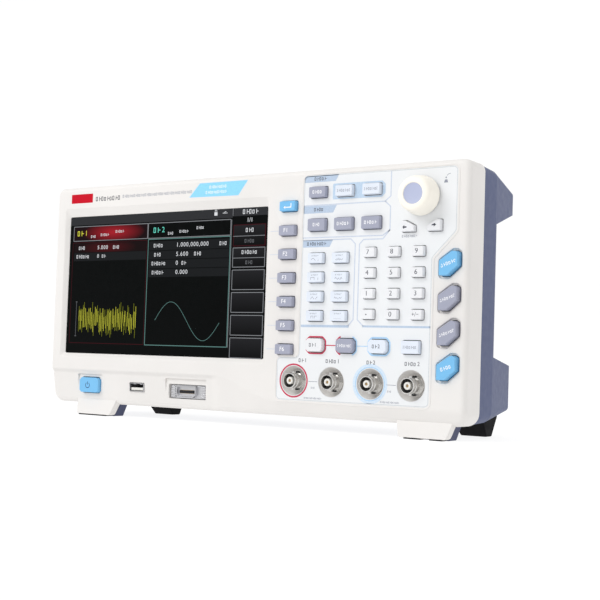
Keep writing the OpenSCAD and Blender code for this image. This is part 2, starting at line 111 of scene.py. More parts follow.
KNOB_X, KNOB_Z = middle("knob")
USB_X, USB_Z = middle("usb_socket")
PORT_X, PORT_Z = middle("digital_port")


# ---- outlines and solids ----


def rect(w, h, x=0.0, z=0.0):
    return [(x - w / 2, z - h / 2), (x + w / 2, z - h / 2), (x + w / 2, z + h / 2), (x - w / 2, z + h / 2)]


def cut_one(w, h, right, x=0.0, z=0.0):
    """A rectangle with one wide cut at its upper right or upper left."""
    a, b = w / 2, h / 2
    across, down = 6.2, 3.2
    if right:
        corners = [(-a, -b), (a, -b), (a, b - down), (a - across, b), (-a, b)]
    else:
        corners = [(-a, -b), (a, -b), (a, b), (-a + across, b), (-a, b - down)]
    return [(x + px, z + pz) for px, pz in corners]


def cut_rect(w, h, cuts, x=0.0, z=0.0):
    """A rectangle with cut corners. The cuts go from the lower left one round to the upper left."""
    a, b = w / 2, h / 2
    ll, lr, ur, ul = cuts
    corners = [(-a + ll, -b), (a - lr, -b), (a, -b + lr), (a, b - ur), (a - ur, b), (-a + ul, b),
               (-a, b - ul), (-a, -b + ll)]
    return [(x + px, z + pz) for px, pz in corners]


def slanted(w, h, x=0.0, z=0.0):
    a, b = w / 2, h / 2
    corners = [(-a, -b), (-w * 0.05, -b), (a, -h * 0.1), (a, h * 0.42), (a * 0.7, b), (w * 0.17, b),
               (-a, h * 0.12)]
    return [(x + px, z + pz) for px, pz in corners]


def unit(a, b):
    length = math.hypot(b[0] - a[0], b[1] - a[1])
    return (b[0] - a[0]) / length, (b[1] - a[1]) / length


def rounded(points, radius, inset=0.0, segments=5):
    """The outline moved inwards by inset, with rounded corners. It runs anticlockwise seen from the front.

    The radius is one number, or one for each corner.
    """
    out = []
    count = len(points)
    radii = radius if isinstance(radius, tuple) else (radius,) * count
    for i, corner in enumerate(points):
        d1 = unit(points[i - 1], corner)
        d2 = unit(corner, points[(i + 1) % count])
        n1, n2 = (-d1[1], d1[0]), (-d2[1], d2[0])
        share = inset / (1 + n1[0] * n2[0] + n1[1] * n2[1])
        x = corner[0] + (n1[0] + n2[0]) * share
        z = corner[1] + (n1[1] + n2[1]) * share
        turn = math.atan2(d1[0] * d2[1] - d1[1] * d2[0], d1[0] * d2[0] + d1[1] * d2[1])
        side = 1 if turn > 0 else -1
        r = max(radii[i] - side * inset, 0.05)
        reach = r * math.tan(abs(turn) / 2)
        cx = x - d1[0] * reach + side * n1[0] * r
        cz = z - d1[1] * reach + side * n1[1] * r
        for k in range(segments + 1):
            a = turn * k / segments
            ex, ez = -side * n1[0] * r, -side * n1[1] * r
            out.append((cx + ex * math.cos(a) - ez * math.sin(a), cz + ex * math.sin(a) + ez * math.cos(a)))
    return out


def circle(r, x, z, segments=48):
    steps = [2 * math.pi * i / segments for i in range(segments)]
    return [(x + r * math.cos(a), z + r * math.sin(a)) for a in steps]


def at(outline, y):
    return [(x, y, z) for x, z in outline]


def loft(rings, closed=False):
    """Skins a row of rings. A closed row joins up with its first ring; an open one gets end faces."""
    count = len(rings[0])
    verts = [v for ring in rings for v in ring]
    faces = []
    for i in range(len(rings) if closed else len(rings) - 1):
        a = i * count
        b = (i + 1) % len(rings) * count
        for j in range(count):
            k = (j + 1) % count
            faces.append((a + j, b + j, b + k, a + k))
    if not closed:
        faces.append(tuple(range(count)))
        faces.append(tuple(reversed(range(len(verts) - count, len(verts)))))
    return verts, faces


def merged(shapes):
    verts, faces = [], []
    for v, f in shapes:
        faces += [tuple(i + len(verts) for i in face) for face in f]
        verts += v
    return verts, faces


def lathe(profile, x, z, closed=False, segments=48):
    return loft([at(circle(r, x, z, segments), y) for r, y in profile], closed)


def plate(outline, front, back):
    return loft([at(outline, front), at(outline, back)])


def edged(points, radius, front, back, edge, draft=0.0, steps=4):
    """A plate whose front edge is rounded, and whose sides lean in by draft towards the front."""
    rings = []
    for k in range(steps + 1):
        a = math.pi / 2 * k / steps
        y = front + edge * (1 - math.cos(a))
        rings.append(at(rounded(points, radius, draft + edge * (1 - math.sin(a))), y))
    rings.append(at(rounded(points, radius), back))
    return loft(rings)


def hole(outline, surface, back, flare, steps=4):
    """The cutter for a hole with a rounded rim; outline(out) gives its outline grown by out."""
    rings = [at(outline(flare), surface - 3)]
    for k in range(steps + 1):
        a = math.pi / 2 * k / steps
        rings.append(at(outline(flare * (1 - math.sin(a))), surface + flare * (1 - math.cos(a))))
    rings.append(at(outline(0), back))
    return loft(rings)


def slot_hole(points, radius, surface, back, flare):
    return hole(lambda out: rounded(points, radius, -out), surface, back, flare)


def round_hole(r, x, z, surface, back, flare):
    return hole(lambda out: circle(r + out, x, z), surface, back, flare)


def band(points, radius, outer, inner, front, back):
    """A flat ring between two offsets of an outline."""
    wide, narrow = rounded(points, radius, -outer), rounded(points, radius, -inner)
    return loft([at(wide, front), at(narrow, front), at(narrow, back), at(wide, back)], closed=True)


def strip(points, width):
    """The outline of a line of even width along open points."""
    left, right = [], []
    for i, (x, z) in enumerate(points):
        d1 = unit(points[i - 1], points[i]) if i else unit(points[0], points[1])
        d2 = unit(points[i], points[i + 1]) if i < len(points) - 1 else d1
        n1, n2 = (-d1[1], d1[0]), (-d2[1], d2[0])
        share = width / 2 / max(1 + n1[0] * n2[0] + n1[1] * n2[1], 0.3)
        ox, oz = (n1[0] + n2[0]) * share, (n1[1] + n2[1]) * share
        left.append((x + ox, z + oz))
        right.append((x - ox, z - oz))
    return right + left[::-1]


def line(points, width, y, thickness=PRINT_T):
    """A printed line along open points, as short joined plates."""
    outline = strip(points, width)
    count = len(points)
    shapes = []
    for i in range(count - 1):
        quad = [outline[i], outline[i + 1], outline[2 * count - 2 - i], outline[2 * count - 1 - i]]
        shapes.append(plate(quad, y - thickness, y))
    return merged(shapes)


def turned(shape, x, z, degrees):
    """The shape turned in the plane of the panel."""
    c, s = math.cos(math.radians(degrees)), math.sin(math.radians(degrees))
    verts = [(x + (px - x) * c - (pz - z) * s, y, z + (px - x) * s + (pz - z) * c)
             for px, y, pz in shape[0]]
    return verts, shape[1]


def lettering(text, size, x, z, y, thickness=PRINT_T, align="CENTER", spacing=1.0):
    """Digits and signs as thin solids that face the front."""
    curve = bpy.data.curves.new("lettering", "FONT")
    curve.body = text
    curve.size = size
    curve.extrude = thickness / 2
    curve.resolution_u = 3
    curve.align_x = align
    curve.space_character = spacing
    curve.align_y = "CENTER"
    holder = bpy.data.objects.new("lettering", curve)
    bpy.context.scene.collection.objects.link(holder)
    bpy.context.view_layer.update()
    mesh = bpy.data.meshes.new_from_object(holder.evaluated_get(bpy.context.evaluated_depsgraph_get()))
    verts = [(x + v.co.x, y - thickness / 2 - v.co.z, z + v.co.y) for v in mesh.vertices]
    faces = [tuple(p.vertices) for p in mesh.polygons]
    bpy.data.objects.remove(holder)
    bpy.data.curves.remove(curve)
    bpy.data.meshes.remove(mesh)
    return verts, faces


def dummy_word(count, height, x, z, y, thickness=PRINT_T):
    """A row of plain marks that stands where a word would be printed, and spells nothing."""
    w, step, pen = height * 0.58, height * 0.86, height * 0.15
    shapes = []
    for i in range(count):
        cx = x + (i - (count - 1) / 2) * step
        if i % 3 == 1:
            shapes.append(plate(rect(pen, height, cx, z), y - thickness, y))
            shapes.append(plate(rect(w - pen, pen, cx + w / 2, z), y - thickness, y))
        else:
            lift = pen if i % 2 else 0
            outline = rect(w - pen, height - pen - lift, cx, z - lift / 2)
            shapes.append(band(outline, 0.02, pen / 2, -pen / 2, y - thickness, y))
    return merged(shapes)


# ---- objects ----


def mesh_object(name, shape):
    mesh = bpy.data.meshes.new(name)
    mesh.from_pydata([(x * MM, y * MM, z * MM) for x, y, z in shape[0]], [], shape[1])
    work = bmesh.new()
    work.from_mesh(mesh)
    bmesh.ops.recalc_face_normals(work, faces=work.faces)
    work.to_mesh(mesh)
    work.free()
    obj = bpy.data.objects.new(name, mesh)
    bpy.context.scene.collection.objects.link(obj)
    return obj


def smooth(obj, angle=32):
    obj.data.shade_smooth()
    obj.data.set_sharp_from_angle(angle=math.radians(angle))
    weighted = obj.modifiers.new("even_shading", "WEIGHTED_NORMAL")
    weighted.keep_sharp = True


def settle(obj):
    """Turns the object's modifiers into its mesh."""
    bpy.context.view_layer.update()
    mesh = bpy.data.meshes.new_from_object(obj.evaluated_get(bpy.context.evaluated_depsgraph_get()))
    obj.modifiers.clear()
    obj.data = mesh


def carve(obj, shape, operation="DIFFERENCE"):
    tool = mesh_object("tool", shape)
    cut = obj.modifiers.new("cut", "BOOLEAN")
    cut.operation = operation
    cut.solver = "EXACT"
    cut.object = tool
    settle(obj)
    bpy.data.objects.remove(tool)


def dress(obj, material, body="case", replaces=()):
    obj.data.materials.clear()
    obj.data.materials.append(material)
    smooth(obj)
    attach(obj, body)
    if replaces:
        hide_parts(*replaces)
    return obj


def piece(name, shape, material, body="case", replaces=()):
    return dress(mesh_object(name, shape), material, body, replaces)


# ---- materials ----


def rgb(r, g, b, level=1.0):
    """A display colour from 0 to 255 as a linear colour."""
    linear = []
    for value in (r, g, b):
        c = value / 255
        linear.append(level * (c / 12.92 if c <= 0.04045 else ((c + 0.055) / 1.055) ** 2.4))
    return (*linear, 1.0)


def scaled(color, factor):
    return (*[min(c * factor, 1.0) for c in color[:3]], 1.0)


class Nodes:
    """A short way to wire a material."""

    def __init__(self, name):
        self.material = bpy.data.materials.new(name)
        self.material.use_nodes = True
        self.tree = self.material.node_tree
        self.shader = self.tree.nodes["Principled BSDF"]
        self.place = self.tree.nodes.new("ShaderNodeTexCoord").outputs["Object"]

    def add(self, kind, **settings):
        node = self.tree.nodes.new(kind)
        for key, value in settings.items():
            setattr(node, key, value)
        return node

    def link(self, source, target):
        self.tree.links.new(source, target)

    def noise(self, scale, detail=3.0, stretch=None):
        node = self.add("ShaderNodeTexNoise")
        node.inputs["Scale"].default_value = scale
        node.inputs["Detail"].default_value = detail
        source = self.place
        if stretch:
            mapping = self.add("ShaderNodeMapping")
            mapping.inputs["Scale"].default_value = stretch
            self.link(self.place, mapping.inputs["Vector"])
            source = mapping.outputs["Vector"]
        self.link(source, node.inputs["Vector"])
        return node.outputs["Fac"]

    def spread(self, source, low, high):
        node = self.add("ShaderNodeMapRange")
        node.inputs["From Min"].default_value = 0.3
        node.inputs["From Max"].default_value = 0.7
        node.inputs["To Min"].default_value = low
        node.inputs["To Max"].default_value = high
        self.link(source, node.inputs["Value"])
        return node.outputs["Result"]

    def mix(self, source, a, b):
        node = self.add("ShaderNodeMix", data_type="RGBA")
        self.link(source, node.inputs[0])
        for socket, value in ((6, a), (7, b)):
            if isinstance(value, tuple):
                node.inputs[socket].default_value = value
            else:
                self.link(value, node.inputs[socket])
        return node.outputs[2]

    def bump(self, source, strength, distance):
        node = self.add("ShaderNodeBump")
        node.inputs["Strength"].default_value = strength
        node.inputs["Distance"].default_value = distance
        self.link(source, node.inputs["Height"])
        self.link(node.outputs["Normal"], self.shader.inputs["Normal"])

    def set(self, **values):
        for key, value in values.items():
            self.shader.inputs[key.replace("_", " ").title().replace("Ior", "IOR")].default_value = value


def moulded(name, color, roughness=0.5, grain=0.25, grain_scale=1500, mottle=0.025, specular=0.3):
    """Moulded plastic: fine grain, faint variation in colour and gloss, and a painted highlight that
    lightens sharp convex edges.
    """
    n = Nodes(name)
    fine = n.noise(grain_scale, 2.0)
    broad = n.noise(18.0, 4.0)
    scuffs = n.noise(240.0, 5.0)
    tone = n.mix(n.spread(broad, 0.0, 1.0), scaled(color, 1 - mottle), scaled(color, 1 + mottle))
    # Painted highlight: along sharp convex edges, found by pointiness, the base colour is lightened by a
    # tenth.
    geometry = n.add("ShaderNodeNewGeometry")
    edge = n.add("ShaderNodeMapRange")
    edge.inputs["From Min"].default_value = 0.54
    edge.inputs["From Max"].default_value = 0.62
    edge.inputs["To Max"].default_value = 0.35
    n.link(geometry.outputs["Pointiness"], edge.inputs["Value"])
    n.link(n.mix(edge.outputs["Result"], tone, scaled(color, 1.1)), n.shader.inputs["Base Color"])
    n.link(n.spread(scuffs, roughness - 0.05, roughness + 0.07), n.shader.inputs["Roughness"])
    n.bump(fine, grain, 0.00004)
    n.set(specular_ior_level=specular)
    return n.material


def metal(name, color, roughness=0.25, stretch=(1, 30, 1)):
    """Plated metal with fine tool marks and uneven gloss."""
    n = Nodes(name)
    marks = n.noise(500.0, 3.0, stretch)
    stain = n.noise(160.0, 4.0)
    n.link(n.mix(n.spread(stain, 0.0, 1.0), scaled(color, 0.95), color), n.shader.inputs["Base Color"])
    n.link(n.spread(marks, roughness - 0.04, roughness + 0.06), n.shader.inputs["Roughness"])
    n.bump(marks, 0.08, 0.00002)
    n.set(metallic=1.0)
    return n.material


def ink(name, color, roughness=0.55):
    """Printed ink with a slightly uneven density."""
    n = Nodes(name)
    density = n.noise(900.0, 2.0)
    tone = n.mix(n.spread(density, 0.0, 1.0), scaled(color, 0.93), scaled(color, 1.04))
    n.link(tone, n.shader.inputs["Base Color"])
    n.link(n.spread(density, roughness - 0.04, roughness + 0.04), n.shader.inputs["Roughness"])
    n.set(specular_ior_level=0.12)
    return n.material


LIT = 0.9


def lit(name, color, body=0.12):
    """A lit part of the picture: it glows in its own colour, a little unevenly, and reflects little."""
    n = Nodes(name)
    density = n.noise(1400.0, 2.0)
    glow = n.mix(n.spread(density, 0.0, 1.0), scaled(color, 0.9), scaled(color, 1.06))
    n.link(glow, n.shader.inputs["Emission Color"])
    n.link(n.spread(density, 0.3, 0.4), n.shader.inputs["Roughness"])
    n.set(base_color=scaled(color, body), emission_strength=LIT, specular_ior_level=0.05)
    return n.material


def lit_patch(name, inner, outer, centre, reach):
    """A glow that fades from its centre. centre is X and Z; reach is how far it goes each way."""
    n = Nodes(name)
    mapping = n.add("ShaderNodeMapping", vector_type="TEXTURE")
    mapping.inputs["Location"].default_value = (centre[0] * MM, LCD_FACE * MM, centre[1] * MM)
    mapping.inputs["Scale"].default_value = (reach[0] * MM, 1.0, reach[1] * MM)
    n.link(n.place, mapping.inputs["Vector"])
    gradient = n.add("ShaderNodeTexGradient", gradient_type="SPHERICAL")
    n.link(mapping.outputs["Vector"], gradient.inputs["Vector"])
    n.link(n.mix(gradient.outputs["Fac"], outer, inner), n.shader.inputs["Emission Color"])
    n.set(base_color=scaled(outer, 0.3), emission_strength=LIT, roughness=0.35, specular_ior_level=0.05)
    return n.material


def menu_fade(name, top, bottom, start, pitch):
    """The menu boxes' shade: lighter at each box's upper edge, dark below."""
    n = Nodes(name)
    split = n.add("ShaderNodeSeparateXYZ")
    n.link(n.place, split.inputs[0])
    shift = n.add("ShaderNodeMath", operation="SUBTRACT")
    shift.inputs[1].default_value = start * MM
    n.link(split.outputs["Z"], shift.inputs[0])
    scale = n.add("ShaderNodeMath", operation="DIVIDE")
    scale.inputs[1].default_value = pitch * MM
    n.link(shift.outputs[0], scale.inputs[0])
    part = n.add("ShaderNodeMath", operation="FRACT")
    n.link(scale.outputs[0], part.inputs[0])
    n.link(n.mix(part.outputs[0], bottom, top), n.shader.inputs["Emission Color"])
    n.set(base_color=scaled(bottom, 0.3), emission_strength=LIT, roughness=0.35, specular_ior_level=0.05)
    return n.material


BEZEL = rgb(243, 240, 237, 0.88)
white_plastic = moulded("bezel_white", BEZEL, 0.5)
film = moulded("overlay_film", rgb(242, 244, 246, 0.91), 0.55, grain=0.15, grain_scale=2600, mottle=0.012)
slate = moulded("housing_slate", rgb(89, 99, 136, 0.78), 0.52, grain=0.4, grain_scale=1100, mottle=0.05)
foot_slate = moulded("foot_slate", rgb(70, 75, 102), 0.6, grain=0.4)
foot_black = moulded("foot_black", rgb(5, 5, 8), 0.65, grain=0.5, grain_scale=900, specular=0.12)
knob_cream = moulded("knob_cream", rgb(253, 248, 237, 1.0), 0.42, grain=0.1)
dish_grey = moulded("knob_dish", rgb(186, 193, 220, 0.96), 0.45, grain=0.1)
key_materials = {
    "key_grey": moulded("key_grey", rgb(166, 169, 187, 0.94), 0.45, grain=0.12, mottle=0.03),
    "key_blue": moulded("key_blue", rgb(126, 196, 243, 0.9), 0.4, grain=0.12, mottle=0.03),
    "key_white": moulded("key_white", rgb(242, 243, 246, 0.9), 0.42, grain=0.12),
    "key_ice": moulded("key_ice", rgb(231, 238, 249, 0.92), 0.42, grain=0.12),
}
nickel = metal("nickel_plate", (0.72, 0.71, 0.69, 1), 0.24)
steel = metal("plated_sheet", (0.62, 0.62, 0.64, 1), 0.32, (30, 1, 1))
brass = metal("contact_brass", (0.75, 0.52, 0.25, 1), 0.3)
zinc = metal("screw_zinc", (0.42, 0.42, 0.44, 1), 0.4)
board_green = moulded("solder_mask", rgb(38, 92, 58), 0.35, grain=0.3, grain_scale=700, mottle=0.12)
inlet_black = moulded("inlet_black", rgb(28, 28, 31), 0.45, grain=0.2)
insulator = moulded("insulator_white", rgb(240, 238, 232, 0.9), 0.35, grain=0.05)
glass = moulded("display_glass", rgb(4, 6, 6), 0.3, grain=0.02, mottle=0.3, specular=0.05)

ink_frame = ink("ink_frame", rgb(204, 212, 226))
ink_tab = ink("ink_tab", rgb(186, 202, 222))
ink_pale = ink("ink_pale_blue", rgb(190, 210, 230))
ink_sky = ink("ink_sky_blue", rgb(146, 214, 252))
ink_ring = ink("ink_ring_blue", rgb(176, 212, 242))
ink_halo = ink("ink_halo_blue", rgb(212, 228, 244))
ink_dark = ink("ink_dark", rgb(84, 86, 96))
ink_name = ink("ink_name", rgb(62, 64, 74))
ink_soft = ink("ink_soft_grey", rgb(150, 154, 166))
ink_white = ink("ink_white", rgb(250, 250, 252))
ink_red = ink("ink_red", rgb(201, 66, 92))
ink_badge = ink("ink_badge_red", rgb(196, 4, 34))
# Grey for a painted shadow line along the inner side of the film's bead.
ink_bead_shadow = ink("ink_bead_shadow", rgb(208, 212, 215))
ink_shadow = ink("ink_key_line", rgb(48, 74, 120))


# ---- front bezel ----


def clamp(value):
    return min(max(value, 0.0), 1.0)


def ease(value):
    t = clamp(value)
    return t * t * (3 - 2 * t)


def edge_height(x):
    """The height of the front plane's lower border at x."""
    steps = [(LEDGE_END, LEDGE_Z), (LEDGE_END + 12, LEDGE_Z - 2.5), (LEDGE_END + 36, STRIP_Z + 2.6),
             (LEDGE_END + 50, STRIP_Z)]
    if x <= steps[0][0]:
        return LEDGE_Z
    for (x0, z0), (x1, z1) in zip(steps, steps[1:]):
        if x <= x1:
            return z0 + (z1 - z0) * (x - x0) / (x1 - x0)
    return STRIP_Z


def chin_depth(x, z):
    """How far the front surface under the screen lies behind the front plane."""
    edge = edge_height(x)
    if z >= edge + 0.5:
        return 0.0
    full = ease((x - LEDGE_END) / 46)
    slope = CHIN_SLOPE + (STRIP_SLOPE - CHIN_SLOPE) * full
    step = CHIN_STEP * (1 - ease((x - LEDGE_END + 6) / 9))
    return step * ease((edge + 0.3 - z) / 3.2) + slope * clamp((edge - z) / (edge - CASE_BOTTOM))


def case_outline(inset, segments=8):
    case_h = TOP - CASE_BOTTOM
    return rounded(rect(2 * HALF_W, case_h, 0, CASE_BOTTOM + case_h / 2), CORNER_RADII, inset, segments)


def bezel_block():
    """The bezel's outer form, with the chin pushed back."""
    rings = []
    steps = 8
    for k in range(steps + 1):
        a = math.pi / 2 * k / steps
        inset, y = EDGE_ROUND * (1 - math.sin(a)), PANEL + EDGE_ROUND * (1 - math.cos(a))
        rings.append(at(case_outline(inset), y))
    rings.append(at(case_outline(0), BEZEL_BACK - 0.6))
    rings.append(at(case_outline(0.2), BEZEL_BACK - 0.15))
    rings.append(at(case_outline(0.6), BEZEL_BACK))
    obj = mesh_object("front_bezel_skin", loft(rings))
    work = bmesh.new()
    work.from_mesh(obj.data)

    def slice_at(axis, value, top):
        normal = (1, 0, 0) if axis == 0 else (0, 0, 1)
        point = (value * MM, 0, 0) if axis == 0 else (0, 0, value * MM)
        faces = [f for f in work.faces if min(v.co.z for v in f.verts) < top * MM]
        edges = {e for f in faces for e in f.edges}
        verts = {v for f in faces for v in f.verts}
        bmesh.ops.bisect_plane(work, geom=[*verts, *edges, *faces], plane_co=point, plane_no=normal)

    top = LEDGE_Z + 2.5
    slice_at(2, top, TOP)
    near_ledge = [LEDGE_Z + 0.5 - 0.4 * i for i in range(10)]
    below = [LEDGE_Z - 4.2 - 1.4 * i for i in range(14)]
    for z in near_ledge + below:
        slice_at(2, z, top)
    for i in range(85):
        slice_at(0, -166 + 4 * i, top)
    for i in range(40):
        slice_at(0, LEDGE_END - 9 + 1.55 * i, top)
    for v in work.verts:
        x, y, z = (c / MM for c in v.co)
        share = clamp((BEZEL_BACK - 1 - y) / (BEZEL_BACK - 1 - PANEL))
        v.co.y += chin_depth(x, z) * share * MM
    work.to_mesh(obj.data)
    work.free()
    return obj


def foot_front(x):
    """The white front of a foot: it narrows downwards and leans forward."""
    low, high = 0.7, CASE_BOTTOM + 3
    points = [(x - 16, low), (x + 16, low), (x + 19, high), (x - 19, high)]
    verts, faces = edged(points, (2.2, 2.2, 0.6, 0.6), PANEL + 0.6, PANEL + 6.2, 0.7)
    return [(vx, vy + (vz - low) / 3, vz) for vx, vy, vz in verts], faces


def screen_hole():
    """The window with its sloping border, which is widest above it."""
    x0, x1 = LCD_LOW[0] + LCD_MARGIN, LCD_HIGH[0] - LCD_MARGIN
    z0, z1 = LCD_LOW[2] + LCD_MARGIN, LCD_HIGH[2] - LCD_MARGIN
    left, right_side, below, above = SCREEN_FRAME
    stations = [(1, 0.8, PANEL - 1), (1, 0.8, PANEL), (1, 0.25, PANEL + 0.12), (1, -0.4, PANEL + 0.5),
                (0, 0.35, WALL_BACK - 0.55), (0, 0.05, WALL_BACK - 0.3), (0, 0, WALL_BACK + 1)]
    rings = []
    for share, out, y in stations:
        a, b = x0 - share * left - out, x1 + share * right_side + out
        c, d = z0 - share * below - out, z1 + share * above + out
        rings.append(at(rounded(rect(b - a, d - c, (a + b) / 2, (c + d) / 2), 1.2 + share * 0.8), y))
    return loft(rings)


WAVE_NAMES = ["sine_key", "noise_key", "square_key", "arbitrary_key", "ramp_key", "harmonic_key",
              "pulse_key", "dc_key"]
KEY_STYLES = [
    (["return_key"], (12.4, 6.6), "round", "key_blue"),
    ([f"soft_key_{i}" for i in range(1, 7)], (12.4, 6.6), "round", "key_grey"),
    (["user_key"], (12.6, 7), "round", "key_grey"),
    (["digital_key", "counter_key"], (12.6, 7), "round", "key_ice"),
    (["modulation_key", "sweep_key", "burst_key"], (13.2, 7.9), "round", "key_grey"),
    (WAVE_NAMES, (11.4, 6.7), "round", "key_ice"),
    ([f"digit_{i}_key" for i in range(10)] + ["point_key", "sign_key"], (8.6, 6.2), "round", "key_white"),
    (["left_arrow_key"], (9.2, 6.8), "cut_right", "key_white"),
    (["right_arrow_key"], (9.2, 6.8), "cut_left", "key_white"),
    (["channel_1_key"], (12.6, 8.6), "cut_corners", "key_white"),
    (["dual_channel_key"], (12.8, 9), "cut_corners", "key_grey"),
    (["channel_2_key"], (13, 8.6), "cut_corners", "key_ice"),
    (["trigger_key"], (12.2, 8), "round", "key_ice"),
    (["help_key", "preset_key"], (12.3, 14.6), "slanted", "key_blue"),
    (["utility_key", "storage_key"], (12.3, 14.6), "slanted", "key_grey"),
    (["power_key"], (18.8, 11), "cut_corners", "key_blue"),
]
CORNERS = {"round": 0.8, "slanted": 0.7, "cut_corners": 0.5, "cut_right": 0.4, "cut_left": 0.4}


def key_points(shape, size, x, z):
    if shape == "round":
        return rect(*size, x, z)
    if shape == "slanted":
        return slanted(*size, x, z)
    if shape == "cut_corners":
        return cut_rect(*size, (1.8, 1.8, 1.8, 1.8), x, z)
    return cut_one(*size, shape == "cut_right", x, z)


KEYS = {}
for key_names, size, shape, slot_name in KEY_STYLES:
    for name in key_names:
        x, z = middle(name)
        KEYS[name] = {"x": x, "z": z, "size": size, "shape": shape, "slot": slot_name,
                      "points": key_points(shape, size, x, z), "front": box_mm(name)[0][1]}
SIDE_NAMES = ["help_key", "utility_key", "storage_key", "preset_key"]
SOFT_NAMES = ["return_key"] + [f"soft_key_{i}" for i in range(1, 7)]
PANEL_NAMES = [n for n in KEYS if n not in SIDE_NAMES + SOFT_NAMES + ["power_key"]]


def key_hole(key, surface, back, flare, extra=0.0, steps=3):
    """The hole that a key moves in, with extra room round it where another sheet lies above."""
    radius, gap = CORNERS[key["shape"]], KEY_GAP + extra
    return hole(lambda out: rounded(key["points"], radius, -(gap + out), 3), surface, back, flare, steps)


def cup_hole(x):
    """The cutter for a socket's cup: a rounded rim, and a wall that narrows to the floor."""
    stations = [(CUP_R + 0.2, -3), (CUP_R + 0.2, 0.2), (CUP_R + 0.06, 0.26), (CUP_R, 0.4),
                (CUP_R - 0.35, 1.4), (CUP_FLOOR_R + 0.3, CUP_DEPTH - 0.5), (CUP_FLOOR_R - 0.1, CUP_DEPTH)]
    return loft([at(circle(r, x, BNC_Z), PANEL + y) for r, y in stations])


def pocket(key):
    """The recess round a side key."""
    stations = [(0.5, -3), (0.5, 0), (0.1, 0.2), (-0.1, POCKET_DEPTH)]
    return loft([at(rounded(key["points"], 0.7, -POCKET - out, 3), PANEL + y) for out, y in stations])


def front_bezel():
    obj = bezel_block()
    inner = 2 * HALF_W - 2 * WALL
    top, bottom = TOP - WALL, CASE_BOTTOM + WALL
    upper_low, lower_high = LEDGE_Z + 3.5, LEDGE_Z + 4.5
    upper = rect(inner, top - upper_low, 0, (top + upper_low) / 2)
    lower = rect(inner, lower_high - bottom, 0, (lower_high + bottom) / 2)
    carve(obj, plate(rounded(upper, 5), WALL_BACK, BEZEL_BACK + 1))
    carve(obj, plate(rounded(lower, 5), PANEL + CHIN_WALL, BEZEL_BACK + 1))
    added = [plate(circle(CUP_R + 2, x, BNC_Z), WALL_BACK - 1, PANEL + CUP_DEPTH + 3) for x in BNC_X]
    carve(obj, merged(added + [foot_front(x) for x in FOOT_X]), "UNION")
    power = KEYS["power_key"]
    recesses = [
        plate(rounded(rect(24, 16, power["x"], power["z"]), 1), PANEL - 1, PANEL + CHIN_RECESS),
        plate(rounded(rect(36, 14.4, PORT_X - 0.6, PORT_Z + 1.6), 1), PANEL - 1, PANEL + PORT_RECESS),
        plate(rounded(OVERLAY, OVERLAY_R), PANEL - 1, PANEL + FILM_T),
        pocket(KEYS["help_key"]), pocket(KEYS["utility_key"]), pocket(KEYS["storage_key"]),
    ]
    carve(obj, merged(recesses))
    carve(obj, pocket(KEYS["preset_key"]))
    holes = [screen_hole(), key_hole(power, PANEL + CHIN_RECESS, CHIN_BACK, 0.35)]
    holes += [key_hole(KEYS[n], PANEL, KEY_BACK, 0.35) for n in SOFT_NAMES]
    holes += [key_hole(KEYS[n], PANEL + POCKET_DEPTH, KEY_BACK, 0.2) for n in SIDE_NAMES]
    holes += [key_hole(KEYS[n], PANEL + 0.2, KEY_BACK, 0.1, 0.25) for n in PANEL_NAMES]
    holes += [cup_hole(x) for x in BNC_X]
    holes.append(round_hole(5.4, KNOB_X, KNOB_Z, PANEL, WALL_BACK + 1, 0.2))
    holes.append(slot_hole(rect(13.6, 6.2, USB_X, USB_Z), 0.4, PANEL + 3.1, CHIN_BACK, 0.3))
    holes.append(slot_hole(rect(32.2, 9.8, PORT_X, PORT_Z), 0.6, PANEL + PORT_RECESS, CHIN_BACK, 0.2))
    carve(obj, merged(holes))
    floor = PANEL + CUP_DEPTH
    carve(obj, merged([plate(circle(5, x, BNC_Z), floor - 1, floor + 4) for x in BNC_X]))
    dress(obj, white_plastic, replaces=["front_bezel"])


front_bezel()


def panel_film():
    obj = mesh_object("panel_film", edged(OVERLAY, 3, PANEL, PANEL + FILM_T, 0.12, steps=2))
    back = PANEL + 2
    holes = [key_hole(KEYS[n], PANEL, back, 0.12, steps=2) for n in PANEL_NAMES]
    holes += [round_hole(CUP_R, x, BNC_Z, PANEL, back, 0.15) for x in BNC_X]
    holes.append(round_hole(5.2, KNOB_X, KNOB_Z, PANEL, back, 0.15))
    carve(obj, merged(holes))
    carve(obj, pocket(KEYS["preset_key"]))
    dress(obj, film, replaces=["panel_overlay"])


panel_film()


def film_bead():
    """The soft raised rim that the film sits in."""
    section = [(0.0, 0.25), (0.15, -0.12), (0.5, -0.3), (0.95, -0.3), (1.35, -0.12), (1.6, 0.25)]
    rings = [at(rounded(OVERLAY, OVERLAY_R, -out), PANEL + y) for out, y in section]
    return loft(rings, closed=True)


piece("film_bead", film_bead(), white_plastic)


# ---- keys ----


def key_body(key):
    """A key with drafted sides, a rounded front edge and a slightly hollow face."""
    radius, points, front = CORNERS[key["shape"]], key["points"], key["front"]
    draft, edge = 0.22, 0.45
    rings = [at(rounded(points, radius, draft + edge + 1.4, 3), front + 0.1),
             at(rounded(points, radius, draft + edge + 0.5, 3), front + 0.06)]
    for k in range(5):
        a = math.pi / 2 * k / 4
        out = draft + edge * (1 - math.sin(a))
        rings.append(at(rounded(points, radius, out, 3), front + edge * (1 - math.cos(a))))
    back = PANEL + 3 if front < PANEL - 1 else PANEL + 9
    rings.append(at(rounded(points, radius, 0, 3), back))
    return loft(rings)


for name, key in KEYS.items():
    piece(name + "_cap", key_body(key), key_materials[key["slot"]], name, [name])


